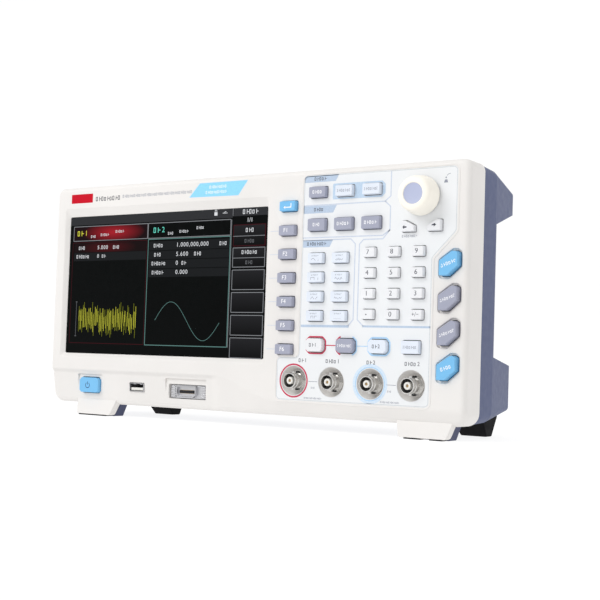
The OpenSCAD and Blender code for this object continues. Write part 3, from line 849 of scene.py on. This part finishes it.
def wave_points(kind, x, z, w, h):
    """The little signal drawn on a waveform key."""
    count = 24
    rng = random.Random(len(kind))
    if kind == "sine_key":
        return [(x + w * (i / count - 0.5), z + h / 2 * math.sin(2 * math.pi * i / count))
                for i in range(count + 1)]
    if kind == "square_key":
        shape = [(-0.5, -1), (-0.5, 1), (0, 1), (0, -1), (0.5, -1), (0.5, 1)]
    elif kind == "ramp_key":
        shape = [(-0.5, -1), (-0.2, 1), (0.15, -1), (0.5, 1)]
    elif kind == "pulse_key":
        shape = [(-0.5, -1), (-0.3, -1), (-0.3, 1), (0, 1), (0, -1), (0.2, -1), (0.2, 1), (0.5, 1)]
    elif kind == "dc_key":
        shape = [(-0.5, -0.6), (0.5, -0.6)]
    elif kind == "noise_key":
        shape = [(i / 12 - 0.5, rng.uniform(-1, 1)) for i in range(13)]
    elif kind == "arbitrary_key":
        shape = [(-0.5, 0), (-0.35, 1), (-0.15, -0.5), (0, 0.6), (0.2, -1), (0.35, 0.9), (0.5, 0)]
    else:
        shape = [(i / 16 - 0.5, math.sin(i * 0.9) * math.cos(i * 0.35)) for i in range(17)]
    return [(x + w * px, z + h / 2 * pz) for px, pz in shape]


def arrow(x, z, direction, y):
    near, far = x - direction * 0.2, x + direction * 1.5
    body = [(near, z - 0.45), (far, z - 0.45), (far, z + 0.45), (near, z + 0.45)]
    head = [(x - direction * 1.5, z), (x, z - 1.2), (x, z + 1.2)]
    return merged([plate(body, y - PRINT_T, y), plate(head, y - PRINT_T, y)])


WORD_LENGTHS = {"user_key": 4, "digital_key": 7, "counter_key": 7, "modulation_key": 3, "sweep_key": 5,
                "burst_key": 5, "dual_channel_key": 7, "trigger_key": 7, "help_key": 4, "utility_key": 7,
                "storage_key": 7, "preset_key": 6}
DARK_WORDS = ["digital_key", "counter_key", "trigger_key"]


def legend(name, key):
    """What is printed on a key, and its ink."""
    x, z = key["x"], key["z"]
    y = key["front"] + 0.1 + PRINT_T / 2
    w, h = key["size"]
    if name.startswith("digit_") and name != "digital_key":
        return lettering(name[6], 4.4, x - 0.5, z, y), ink_dark
    if name == "point_key":
        return plate(circle(0.42, x - 0.4, z - 0.2, 16), y - PRINT_T, y), ink_dark
    if name == "sign_key":
        return lettering("+/−", 3.4, x - 0.2, z, y), ink_dark
    if name.startswith("soft_key_"):
        return lettering("F" + name[-1], 3.9, x - 0.5, z, y), ink_white
    if name == "return_key":
        hook = line([(x + 2.9, z + 1.7), (x + 2.9, z - 0.9), (x - 1.6, z - 0.9)], 0.6, y)
        head = plate([(x - 2.8, z - 0.9), (x - 1.4, z - 1.9), (x - 1.4, z + 0.1)], y - PRINT_T, y)
        return merged([hook, head]), ink_white
    if name in WAVE_NAMES:
        signal = line(wave_points(name, x, z - 1.2, 5.4, 1.9), 0.26, y)
        return merged([signal, dummy_word(5, 1.2, x, z + 1.6, y)]), ink_soft
    if name in ("left_arrow_key", "right_arrow_key"):
        if name == "left_arrow_key":
            return arrow(x - 2.0, z - 0.7, 1, y), ink_dark
        return arrow(x + 0.2, z + 0.1, -1, y), ink_dark
    if name in ("channel_1_key", "channel_2_key"):
        word = dummy_word(2, 2.2, x - 1.6, z, y)
        return merged([word, lettering(name[8], 3.3, x + 1.5, z, y)]), ink_dark
    if name == "power_key":
        angles = [0.6 + i * 0.22 for i in range(24)]
        arc = [(x - 1.2 + 1.9 * math.sin(a), z - 0.2 + 1.9 * math.cos(a)) for a in angles]
        stroke = [(x - 1.2, z + 0.2), (x - 1.2, z + 2.4)]
        return merged([line(arc, 0.5, y), line(stroke, 0.5, y)]), ink_shadow
    count = WORD_LENGTHS[name]
    word = dummy_word(count, min(2.1, w * 0.86 / count / 0.86), x, z, y)
    if name in SIDE_NAMES:
        word = turned(word, x, z, 20)
    return word, ink_soft if name in DARK_WORDS else ink_white


for name, key in KEYS.items():
    shape, printing = legend(name, key)
    piece(name + "_legend", shape, printing, name)


# ---- printing on the panel ----


def on_panel(points, width, y=PANEL):
    return line(points, width, y)


GROUP_LINES = [
    [(115.3, 160.4), (115.3, 145.2), (111.4, 142.2), (52.3, 141.9)],
    [(111.4, 142.2), (115.3, 138.9), (115.3, 124.6), (110.4, 121.4), (52.3, 121.5)],
    [(52.6, 119.9), (88.0, 119.9), (91.2, 116.8), (91.2, 70.1), (87.6, 66.2)],
    [(115.3, 124.6), (110.6, 119.3), (97.0, 119.3), (94.2, 116.5), (94.2, 70.1), (98.5, 66.2)],
]
piece("group_lines", merged([on_panel(p, 0.75) for p in GROUP_LINES]), ink_frame)
bars = [on_panel([(53.0, 65.9), (88.2, 65.9)], 1.5), on_panel([(98.0, 66.1), (144.3, 66.1)], 1.2)]
piece("group_bars", merged(bars), ink_tab)


def tab(x, z, w, h):
    """A group's title strip with a leaning right end."""
    left, right, low, high = x - w / 2, x + w / 2, z - h / 2, z + h / 2
    points = [(left, low), (right - h * 0.55, low), (right, high), (left, high)]
    return plate(points, PANEL - PRINT_T, PANEL)


TABS = [(65.2, 158.7, 25.3, 4.2, 5), (64.6, 139.2, 24.5, 4.6, 4), (63.8, 117.6, 22.2, 4.4, 8)]
piece("group_tabs", merged([tab(x, z, w, h) for x, z, w, h, _ in TABS]), ink_tab)
titles = [dummy_word(n, 2.1, x - 1.2, z, PANEL - PRINT_T) for x, z, _, _, n in TABS]
piece("group_titles", merged(titles), ink_dark)
pale = rounded(cut_rect(37.7, 9.9, (0.5, 2.2, 2.2, 0.5), 92.6, 150.0), 0.4)
key_lines = [rounded(KEYS[n]["points"], 0.8, -0.5, 3) for n in ("digital_key", "counter_key")]
pale_patch = mesh_object("pale_patch", plate(pale, PANEL - PRINT_T, PANEL))
carve(pale_patch, merged([plate(o, PANEL - 1, PANEL + 1) for o in key_lines]))
dress(pale_patch, ink_pale)

ch1, dual, ch2 = KEYS["channel_1_key"], KEYS["dual_channel_key"], KEYS["channel_2_key"]


def key_ring(key, inner, outer, keep=None):
    """A printed band round a key; keep -1 or 1 leaves only its left or right half."""
    wide, narrow = rounded(key["points"], 1, -outer, 3), rounded(key["points"], 1, -inner, 3)
    shapes = []
    for i in range(len(wide)):
        j = (i + 1) % len(wide)
        quad = [wide[i], wide[j], narrow[j], narrow[i]]
        centre = sum(p[0] for p in quad) / 4
        if keep is None or (centre - key["x"]) * keep > 0:
            shapes.append(plate(quad, PANEL - PRINT_T, PANEL))
    return merged(shapes)


def bnc_ring(x, inner, outer):
    return loft([at(circle(outer, x, BNC_Z), PANEL - PRINT_T), at(circle(inner, x, BNC_Z), PANEL - PRINT_T),
                 at(circle(inner, x, BNC_Z), PANEL), at(circle(outer, x, BNC_Z), PANEL)], closed=True)


piece("channel_1_marks", merged([
    key_ring(ch1, 0.45, 1.35), key_ring(dual, 0.45, 1.35, -1), bnc_ring(BNC_X[0], 9.75, 10.75),
    on_panel([(ch1["x"] + 7.6, ch1["z"]), (dual["x"] - 7.7, dual["z"])], 0.6)]), ink_red)
piece("channel_2_marks", merged([
    key_ring(ch2, 0.45, 1.5), key_ring(dual, 0.45, 1.35, 1), bnc_ring(BNC_X[2], 9.75, 10.4),
    on_panel([(dual["x"] + 7.7, dual["z"]), (ch2["x"] - 7.9, ch2["z"])], 0.5)]), ink_ring)
piece("channel_2_halo", bnc_ring(BNC_X[2], 10.4, 12.1), ink_halo)
# Painted shadow: a grey band just inside the film's rim, where the raised bead shades the film.
piece("film_bead_shadow", band(OVERLAY, 3.0, -0.35, -0.75, PANEL - PRINT_T, PANEL), ink_bead_shadow)

socket_titles = []
for x, count, digit in ((53.8, 2, "1"), (76.0, 4, "1"), (103.4, 2, "2"), (131.6, 4, "2")):
    socket_titles.append(dummy_word(count, 2.3, x, 44.2, PANEL))
    socket_titles.append(lettering(digit, 3.5, x + count + 1.6, 44.2, PANEL))
piece("socket_titles", merged(socket_titles), ink_dark)
small_print = [on_panel([(59.9, 31.2), (66.6, 31.2)], 0.3), on_panel([(115.8, 31.2), (122.4, 31.2)], 0.3)]
for x, z, count, height in ((63.4, 20.8, 14, 1.1), (118.4, 20.8, 14, 1.1), (63.3, 27.3, 3, 1.1),
                            (117.9, 27.3, 3, 1.1), (128.6, 120.4, 8, 1.5)):
    small_print.append(dummy_word(count, height, x, z, PANEL))
trapezium = [(150.8, 151.2), (153.4, 151.2), (152.9, 153.0), (151.4, 153.0)]
small_print.append(plate(trapezium, PANEL - PRINT_T, PANEL))
small_print.append(plate(circle(0.5, 152.1, 154.2, 16), PANEL - PRINT_T, PANEL))
small_print.append(on_panel([(152.6, 155.3), (153.6, 156.2), (155.0, 156.5)], 0.3))
piece("small_print", merged(small_print), ink_soft)

soft_keys = [KEYS[n] for n in SOFT_NAMES[1:]]
leaders = [on_panel([(26.9, key["z"]), (key["x"] - 7.4, key["z"])], 0.3) for key in soft_keys]
piece("key_leaders", merged(leaders), ink_frame)

badge = rounded(rect(21.1, 6.6, -142.6, 156.4), 0.4)
piece("badge", plate(badge, PANEL - PRINT_T, PANEL), ink_badge)
piece("name_line", dummy_word(9, 3.1, -117.4, 155.4, PANEL), ink_name)
piece("type_line", dummy_word(37, 2.0, -71.5, 156.1, PANEL), ink_soft)
label = [(-41.9, 152.1), (-0.2, 151.6), (7.3, 161.3), (-33, 161.3)]
piece("top_label", plate(label, PANEL - PRINT_T, PANEL), ink_sky)
label_words = [dummy_word(count, 1.9, x, z, PANEL - PRINT_T)
               for count, x, z in ((9, -17.6, 158.3), (11, -19.0, 154.8))]
piece("top_label_words", merged(label_words), ink_white)


# ---- display ----

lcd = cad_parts["lcd_module"]
lcd.data.materials.clear()
lcd.data.materials.append(glass)

lit_grey = lit("lit_grey", rgb(48, 49, 52))
lit_line = lit("lit_line", rgb(128, 130, 134))
lit_white = lit("lit_white", rgb(222, 224, 228))
lit_dim = lit("lit_dim", rgb(104, 106, 110))
lit_teal = lit("lit_teal", rgb(92, 130, 126))
lit_cyan = lit("lit_cyan", rgb(104, 216, 194))
lit_yellow = lit("lit_yellow", rgb(216, 214, 72))
lit_olive = lit("lit_olive", rgb(120, 124, 30))
lit_wine = lit("lit_wine", rgb(64, 16, 24))
lit_row = lit("lit_row", rgb(26, 28, 30))
red_header = lit_patch("lit_red_header", rgb(176, 32, 44), rgb(22, 8, 12), (-113, 131.2), (30, 8))
red_row = lit_patch("lit_red_row", rgb(78, 14, 20), rgb(20, 9, 11), (-118, 120.4), (28, 6))
menu_shade = menu_fade("lit_menu", rgb(38, 38, 41), rgb(8, 9, 10), 44.0, 14.9)

FILL, LINE_LAYER, TOP_LAYER = LCD_FACE, LCD_FACE - 0.03, LCD_FACE - 0.06
LAYER_T = 0.03


def box(x0, x1, z0, z1):
    return rect(x1 - x0, z1 - z0, (x0 + x1) / 2, (z0 + z1) / 2)


def fill(x0, x1, z0, z1, layer=FILL):
    return plate(box(x0, x1, z0, z1), layer - LAYER_T, layer)


def border(x0, x1, z0, z1, width, layer=LINE_LAYER):
    return band(box(x0, x1, z0, z1), 0.5, 0, -width, layer - LAYER_T, layer)


def word(count, height, x, z, layer=LINE_LAYER):
    return dummy_word(count, height, x, z, layer, LAYER_T)


WIN_L, WIN_R = LCD_LOW[0] + LCD_MARGIN, LCD_HIGH[0] - LCD_MARGIN
WIN_T = LCD_HIGH[2] - LCD_MARGIN
MENU_L, MENU_R = -5.2, 21.4
SPLIT = -80.2

header = [fill(WIN_L, MENU_L - 1, 137.2, WIN_T), fill(MENU_L, WIN_R, 138.1, WIN_T)]
piece("display_header", merged(header), lit_grey)
piece("channel_1_header", fill(-152, SPLIT, 125.6, 136.1), red_header)
piece("channel_1_row", fill(-151, SPLIT - 1, 117.2, 123.8), red_row)
rows = [fill(-151, SPLIT - 1, 111, 116.9), fill(-78.4, -8, 117.1, 123.4), fill(-78.4, -8, 110.8, 116.6),
        fill(-78.4, -8, 104.5, 110.3), fill(-78.4, -8, 98.4, 104)]
piece("value_rows", merged(rows), lit_row)
piece("display_lines", merged([
    border(-152.2, SPLIT, 125.4, 136.4, 0.5), border(SPLIT, -7.2, 125.4, 136.4, 0.5),
    fill(MENU_L - 0.9, MENU_L - 0.5, 138.3, WIN_T, LINE_LAYER),
    fill(MENU_L, MENU_R, 124.5, 124.9, LINE_LAYER)]
    + [border(MENU_L, MENU_R, z0, z1, 0.5) for z0, z1 in
       ((103.9, 117.2), (89.0, 102.5), (74.0, 87.6), (59.0, 72.6), (44.1, 57.7))]
    + [fill(MENU_L, MENU_R, 110.0, 110.4, LINE_LAYER), fill(-7.0, -6.6, 51, 136, LINE_LAYER)]), lit_line)
channel_1_frame = [border(-152.6, SPLIT - 0.3, 51.2, 124.6, 0.4), border(MENU_L, MENU_R, 118, 132.4, 0.5),
                   fill(20.8, 21.4, 118, 132.4, TOP_LAYER)]
piece("channel_1_frame", merged(channel_1_frame), lit_wine)
piece("channel_2_frame", border(SPLIT + 0.5, -7.2, 50.9, 125.2, 0.55, TOP_LAYER), lit_teal)
menu_boxes = [(118.4, 132), (104.2, 117), (89.3, 102.2), (74.3, 87.3), (59.3, 72.3), (44.4, 57.4)]
piece("menu_boxes", merged([fill(MENU_L + 0.3, MENU_R - 0.3, z0, z1) for z0, z1 in menu_boxes]), menu_shade)


def reading(digits, unit_marks, x, z, size):
    """A value on the display: digits as given, and marks for the unit, set from the left."""
    shapes = [lettering(digits, size, x, z, LINE_LAYER, LAYER_T, "LEFT", 1.18)]
    if unit_marks:
        unit_x = x + len(digits) * size * 0.64 + size * (0.5 + unit_marks * 0.27)
        shapes.append(word(unit_marks, size * 0.6, unit_x, z))
    return merged(shapes)


values = [reading("5.000", 3, -128, 120.4, 4.0), reading("0", 2, -128, 114.2, 3.8),
          reading("1.000,000,000", 3, -54, 120.4, 4.2), reading("5.600", 3, -54, 114.0, 4.2),
          reading("0", 2, -54, 107.9, 4.2), reading("0.000", 0, -54, 101.6, 4.2)]
row_names = [(3, -143.6, 120.4), (6, -142.4, 114.2), (4, -70.4, 120.4), (3, -70.8, 114.0),
             (6, -69.6, 107.9), (5, -70.2, 101.6)]
values += [word(count, 2.5, x, z) for count, x, z in row_names]
header_notes = [(3, -132.6, 128.6), (5, -121.4, 129.6), (5, -107.0, 131.6), (3, -59.6, 128.6),
                (5, -47.8, 129.6), (4, -33.6, 131.6)]
values += [word(count, 1.9, x, z) for count, x, z in header_notes]
values += [word(5, 3.0, 8.2, 140.8), lettering("1/1", 4.0, 8.2, 135.2, LINE_LAYER, LAYER_T),
           word(3, 2.7, 8.2, 128.6), word(6, 2.5, 8.4, 114.0)]
values.append(fill(-21.7, -19.1, 139.2, 141.4, LINE_LAYER))
lock_bow = rect(1.4, 2.0, -20.4, 142.0)
values.append(band(lock_bow, 0.5, 0.2, -0.2, LINE_LAYER - LAYER_T, LINE_LAYER))
values.append(line([(-14.6, 140.6), (-10.6, 140.6)], 0.35, LINE_LAYER, LAYER_T))
values.append(line([(-13.6, 140.6), (-12.6, 141.6), (-11.6, 141.6)], 0.3, LINE_LAYER, LAYER_T))
piece("display_values", merged(values), lit_white)
piece("display_dim_values", merged([word(4, 2.4, 8.2, 121.4), word(3, 2.4, 8.4, 107.2)]), lit_dim)
piece("channel_1_title", merged([word(2, 3.7, -145.6, 131.1, TOP_LAYER),
                                 lettering("1", 5.4, -139.6, 131.1, TOP_LAYER, LAYER_T)]), lit_yellow)
piece("channel_2_title", merged([word(2, 3.7, -72.4, 131.2),
                                 lettering("2", 5.4, -66.2, 131.2, LINE_LAYER, LAYER_T)]), lit_cyan)

NOISE_MID, NOISE_REACH = 68.4, 12.6
rng = random.Random(11)


def noise_trace(count, width, reach, layer):
    shapes = []
    for i in range(count):
        x = -143.6 + 54.8 * (i + rng.uniform(-0.3, 0.3)) / (count - 1)
        centre = NOISE_MID + rng.uniform(-0.3, 0.3) * reach
        half = reach * rng.uniform(0.35, 0.72)
        shapes.append(fill(x - width / 2, x + width / 2, max(centre - half, NOISE_MID - NOISE_REACH),
                           min(centre + half, NOISE_MID + NOISE_REACH), layer))
    return merged(shapes)


piece("noise_trace_faint", noise_trace(52, 0.34, NOISE_REACH * 1.05, FILL), lit_olive)
piece("noise_trace", noise_trace(36, 0.28, NOISE_REACH * 0.85, LINE_LAYER), lit_yellow)
sine = [(-70.9 + 56.5 * i / 72, 68.1 + 13.1 * math.sin(2 * math.pi * (i / 72 * 0.985 + 0.004)))
        for i in range(73)]
piece("sine_trace", line(sine, 0.32, LINE_LAYER, LAYER_T), lit_teal)
marker = [fill(-146.6, -146.3, 56.6, 81, LINE_LAYER), fill(-147.3, -145.6, 81, 81.4, LINE_LAYER),
          fill(-147.3, -145.6, 56.2, 56.6, LINE_LAYER)]
piece("level_marker", merged(marker), lit_dim)


# ---- knob ----

KNOB_FRONT, KNOB_BACK = box_mm("knob")[0][1], box_mm("knob")[1][1]
KNOB_R = 11.9


def from_face(profile, front, facing=1):
    """The profile with its depths counted from a front face."""
    return [(r, front + facing * depth) for r, depth in profile]


crown = [(6.2, 1.6), (6.25, 0.5), (6.5, 0.12), (7.0, 0), (8.2, 0.05), (9.3, 0.4), (10.1, 1.1), (10.6, 2.1),
         (10.9, 3.4), (11.2, 6), (KNOB_R, 9.4)]
knob_profile = from_face(crown, KNOB_FRONT)
knob_profile += [(KNOB_R, KNOB_BACK - 0.6), (KNOB_R - 0.15, KNOB_BACK - 0.2), (KNOB_R - 0.5, KNOB_BACK),
                 (3.1, KNOB_BACK), (3.1, KNOB_FRONT + 2.7)]
knob_grip = lathe(knob_profile, KNOB_X, KNOB_Z, segments=72)
piece("knob_grip", knob_grip, knob_cream, "knob", ["knob"])
dish = [(0.3, 1.25), (2.4, 1.2), (4.4, 1.0), (5.6, 0.7), (6.22, 0.5), (6.22, 1.55)]
knob_dish = lathe(from_face(dish, KNOB_FRONT), KNOB_X, KNOB_Z, segments=72)
piece("knob_dish", knob_dish, dish_grey, "knob")


# ---- sockets ----


def bnc(x, z, front, seat, end, facing=1):
    """The metal, the insulator and the contact of a socket. facing -1 points to the back."""
    length = (seat - front) * facing
    shell = [(4.05, 7), (4.05, 0.35), (4.25, 0), (4.6, 0), (4.8, 0.3), (4.8, 2.6), (4.45, 2.9), (4.45, 3.4),
             (4.8, 3.7), (4.8, length - 1.2), (6.0, length - 1.2), (6.2, length - 1.0), (6.2, length),
             (4.8, length), (4.8, (end - front) * facing)]
    metal_parts = [lathe(from_face(shell, front, facing), x, z)]
    nut = circle(5.6, x, z, 6)
    metal_parts.append(loft([at(nut, front + facing * (length - depth)) for depth in (3.0, 1.2)]))
    for side in (-1, 1):
        y = front + facing * 4.6
        rings = []
        for reach, r in ((4.2, 1.0), (5.6, 1.0), (5.85, 0.8), (5.9, 0.5)):
            rings.append([(x + r * math.cos(a), y + r * math.sin(a), z + side * reach)
                          for a in [2 * math.pi * i / 20 for i in range(20)]])
        metal_parts.append(loft(rings))
    sleeve = [(2.3, 7), (2.3, 0.7), (2.1, 0.5), (1.05, 0.5), (0.95, 0.7), (0.95, 5)]
    pin = [(0.75, 7), (0.75, 1.2), (0.55, 1.0), (0.3, 1.0), (0.3, 4)]
    return (merged(metal_parts), lathe(from_face(sleeve, front, facing), x, z, segments=32),
            lathe(from_face(pin, front, facing), x, z, segments=24))


bncs = [bnc(x, BNC_Z, PANEL - 5, PANEL + CUP_DEPTH, BEZEL_BACK) for x in BNC_X]
bncs += [bnc(x, REAR_BNC_Z, REAR_PANEL + 7, REAR_PANEL, REAR_PANEL - 12, -1) for x in REAR_BNC_X]
piece("bnc_shells", merged([b[0] for b in bncs]), nickel, replaces=["bnc_sockets"])
piece("bnc_insulators", merged([b[1] for b in bncs]), insulator)
piece("bnc_contacts", merged([b[2] for b in bncs]), brass)
cup_floor = PANEL + CUP_DEPTH
# Painted shade: small black blocks in each cup, above and below the nut, stand in for the shade behind the
# bayonet lugs.
lug_shade_blocks = [edged(rect(2.0, 1.5, x, BNC_Z + side * 5.3), 0.5, cup_floor - 2.6, cup_floor - 1.2, 0.2)
        for x in BNC_X for side in (-1, 1)]
piece("bnc_lug_shade", merged(lug_shade_blocks), inlet_black)
# Painted shade: a black ring fills the bottom of the gap between shell and insulator, for the shade in that
# deep, narrow gap.
bore_shade_rings = [lathe([(2.32, y + a), (4.03, y + a), (4.03, y + b), (2.32, y + b)], x, z, closed=True, segments=32)
         for x, z, y, a, b in [(x, BNC_Z, PANEL - 5, 4.8, 5.8) for x in BNC_X]
         + [(x, REAR_BNC_Z, REAR_PANEL + 7, -5.8, -4.8) for x in REAR_BNC_X]]
piece("bnc_bore_shade", merged(bore_shade_rings), inlet_black)

USB_FRONT = box_mm("usb_socket")[0][1]


def tube(points, radius, wall, front, back):
    """A sheet-metal tube with softened front edges."""
    stations = [(0, back), (0, front + 0.15), (0.1, front), (wall - 0.1, front), (wall, front + 0.15),
                (wall, back)]
    return loft([at(rounded(points, radius, inset), y) for inset, y in stations], closed=True)


usb_shell = tube(rect(13.2, 5.8, USB_X, USB_Z), 0.6, 0.4, USB_FRONT, BEZEL_BACK)
piece("usb_shell", usb_shell, steel, replaces=["usb_socket"])
usb_tongue = edged(rect(11, 1.9, USB_X, USB_Z - 1.15), 0.2, USB_FRONT + 0.8, BEZEL_BACK - 4, 0.25)
piece("usb_tongue", usb_tongue, insulator)
springs = [edged(rect(2.2, 0.4, USB_X + dx, USB_Z + 2.2), 0.1, USB_FRONT + 1.5, USB_FRONT + 9, 0.1)
           for dx in (-3, 3)]
piece("usb_springs", merged(springs), steel)
usb_back = plate(rounded(rect(12.3, 4.9, USB_X, USB_Z), 0.3), USB_FRONT + 9, USB_FRONT + 10)
piece("usb_back", usb_back, inlet_black)

PORT_FRONT = box_mm("digital_port")[0][1]
D_X = PORT_X - 1.2


def d_points(w, h):
    return cut_rect(w, h, (h * 0.3, h * 0.3, 0.6, 0.6), D_X, PORT_Z)


port_metal = [edged(rect(31.6, 9.2, PORT_X, PORT_Z), 0.4, PORT_FRONT + 2, PORT_FRONT + 3, 0.2),
              tube(d_points(17, 7.8), 0.7, 0.7, PORT_FRONT, PORT_FRONT + 9)]
for x in (PORT_X - 12.9, PORT_X + 12.9):
    for i in range(5):
        rib = rect(3.6, 0.9, x, PORT_Z - 3.2 + 1.6 * i)
        port_metal.append(edged(rib, 0.2, PORT_FRONT + 0.9, PORT_FRONT + 2.1, 0.2, steps=2))
    port_metal.append(edged(rect(4.6, 8.4, x, PORT_Z), 0.5, PORT_FRONT + 1.6, PORT_FRONT + 2.1, 0.2))
piece("port_shell", merged(port_metal), steel, replaces=["digital_port"])
core = [plate(rounded(d_points(15.7, 6.5), 0.5), PORT_FRONT + 3.4, PORT_FRONT + 9.2),
        edged(rect(12.4, 2, D_X, PORT_Z), 0.3, PORT_FRONT + 1, PORT_FRONT + 4, 0.2)]
piece("port_core", merged(core), inlet_black)
contact_points = [rect(0.45, 0.2, D_X + 1.2 * (i - 4.5), PORT_Z + dz)
                  for i in range(10) for dz in (-1.08, 1.08)]
contacts = [edged(points, 0.05, PORT_FRONT + 1.3, PORT_FRONT + 4, 0.05, steps=1)
            for points in contact_points]
piece("port_contacts", merged(contacts), brass)


# ---- CAD nodes that stay ----


def keep(node, material, soft_edge=0.0, angle=30):
    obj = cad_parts[node]
    obj.data.materials.clear()
    obj.data.materials.append(material)
    if soft_edge:
        weld = obj.modifiers.new("joined", "WELD")
        weld.merge_threshold = 0.00001
        bevel = obj.modifiers.new("soft_edges", "BEVEL")
        bevel.width = soft_edge * MM
        bevel.segments = 3
        bevel.limit_method = "ANGLE"
        bevel.angle_limit = math.radians(angle)
        bevel.harden_normals = True
    return obj


keep("rear_housing", slate, 0.8)
keep("front_feet", foot_slate, 0.6)
keep("rear_feet", foot_black, 0.8)
keep("mains_inlet", inlet_black, 0.3)
keep("case_screws", zinc, 0.2)
keep("encoder_shaft", zinc, 0.3)
for node in ("keypad_board", "main_board", "power_supply"):
    keep(node, board_green)

pads = []
for x, spans in ((FOOT_X[0], ((-14.0, 12.5),)), (FOOT_X[1], ((-12.0, -1.0), (5.0, 13.6)))):
    for x0, x1 in spans:
        pad = rect(x1 - x0, 0.7, x + (x0 + x1) / 2, 0.35)
        pads.append(edged(pad, 0.15, PANEL + 0.75, PANEL + 6.0, 0.15))
piece("foot_pads", merged(pads), foot_black)


# ---- floor, light and camera ----


def backdrop():
    """A pale floor that turns up softly behind the object."""
    profile = [(-12.0, 0)] + [(1.2 + 0.8 * math.sin(a), 0.8 - 0.8 * math.cos(a)) for a in
                             [math.pi / 2 * i / 12 for i in range(13)]] + [(2.0, 3.0)]
    verts = [(x, y, z) for x in (-12.0, 12.0) for y, z in profile]
    count = len(profile)
    mesh = bpy.data.meshes.new("floor")
    mesh.from_pydata(verts, [], [(i, i + 1, count + i + 1, count + i) for i in range(count - 1)])
    mesh.shade_smooth()
    obj = bpy.data.objects.new("floor", mesh)
    bpy.context.scene.collection.objects.link(obj)
    floor = moulded("studio_floor", (0.16, 0.16, 0.16, 1), 0.8, grain=0.1, grain_scale=300, mottle=0.004)
    shader = floor.node_tree.nodes["Principled BSDF"]
    shader.inputs["Emission Color"].default_value = (1, 1, 1, 1)
    shader.inputs["Emission Strength"].default_value = 0.86
    mesh.materials.append(floor)


backdrop()


def area_light(name, place, aim, size, power):
    data = bpy.data.lights.new(name, "AREA")
    data.shape = "RECTANGLE"
    data.size, data.size_y = size
    data.energy = power
    obj = bpy.data.objects.new(name, data)
    bpy.context.scene.collection.objects.link(obj)
    obj.location = place
    direction = [a - p for a, p in zip(aim, place)]
    obj.rotation_euler = Vector(direction).to_track_quat("-Z", "Y").to_euler()


area_light("key_light", (-0.9, -1.6, 1.5), (0, 0, 0.08), (1.6, 1.2), 26)
area_light("top_light", (0.1, 0.1, 1.9), (0, 0, 0.08), (1.8, 1.8), 5)
area_light("right_light", (1.7, -0.3, 0.7), (0.1, 0, 0.08), (1.2, 1.2), 2)

world = bpy.data.worlds.new("studio")
world.use_nodes = True
world.node_tree.nodes["Background"].inputs["Color"].default_value = (1, 1, 1, 1)
world.node_tree.nodes["Background"].inputs["Strength"].default_value = 0.6
bpy.context.scene.world = world
bpy.context.scene.view_settings.view_transform = "Standard"

camera_data = bpy.data.cameras.new("camera")
camera_data.lens = 69.0
camera_data.sensor_width = 36.0
camera = bpy.data.objects.new("camera", camera_data)
bpy.context.scene.collection.objects.link(camera)
right, up, back = (0.83011, 0.55662, 0.03299), (0.00085, -0.06044, 0.99817), (0.55759, -0.82857, -0.05064)
camera.matrix_world = Matrix(((right[0], up[0], back[0], 0.4570), (right[1], up[1], back[1], -0.6434),
                              (right[2], up[2], back[2], 0.0454), (0, 0, 0, 1)))
bpy.context.scene.camera = camera
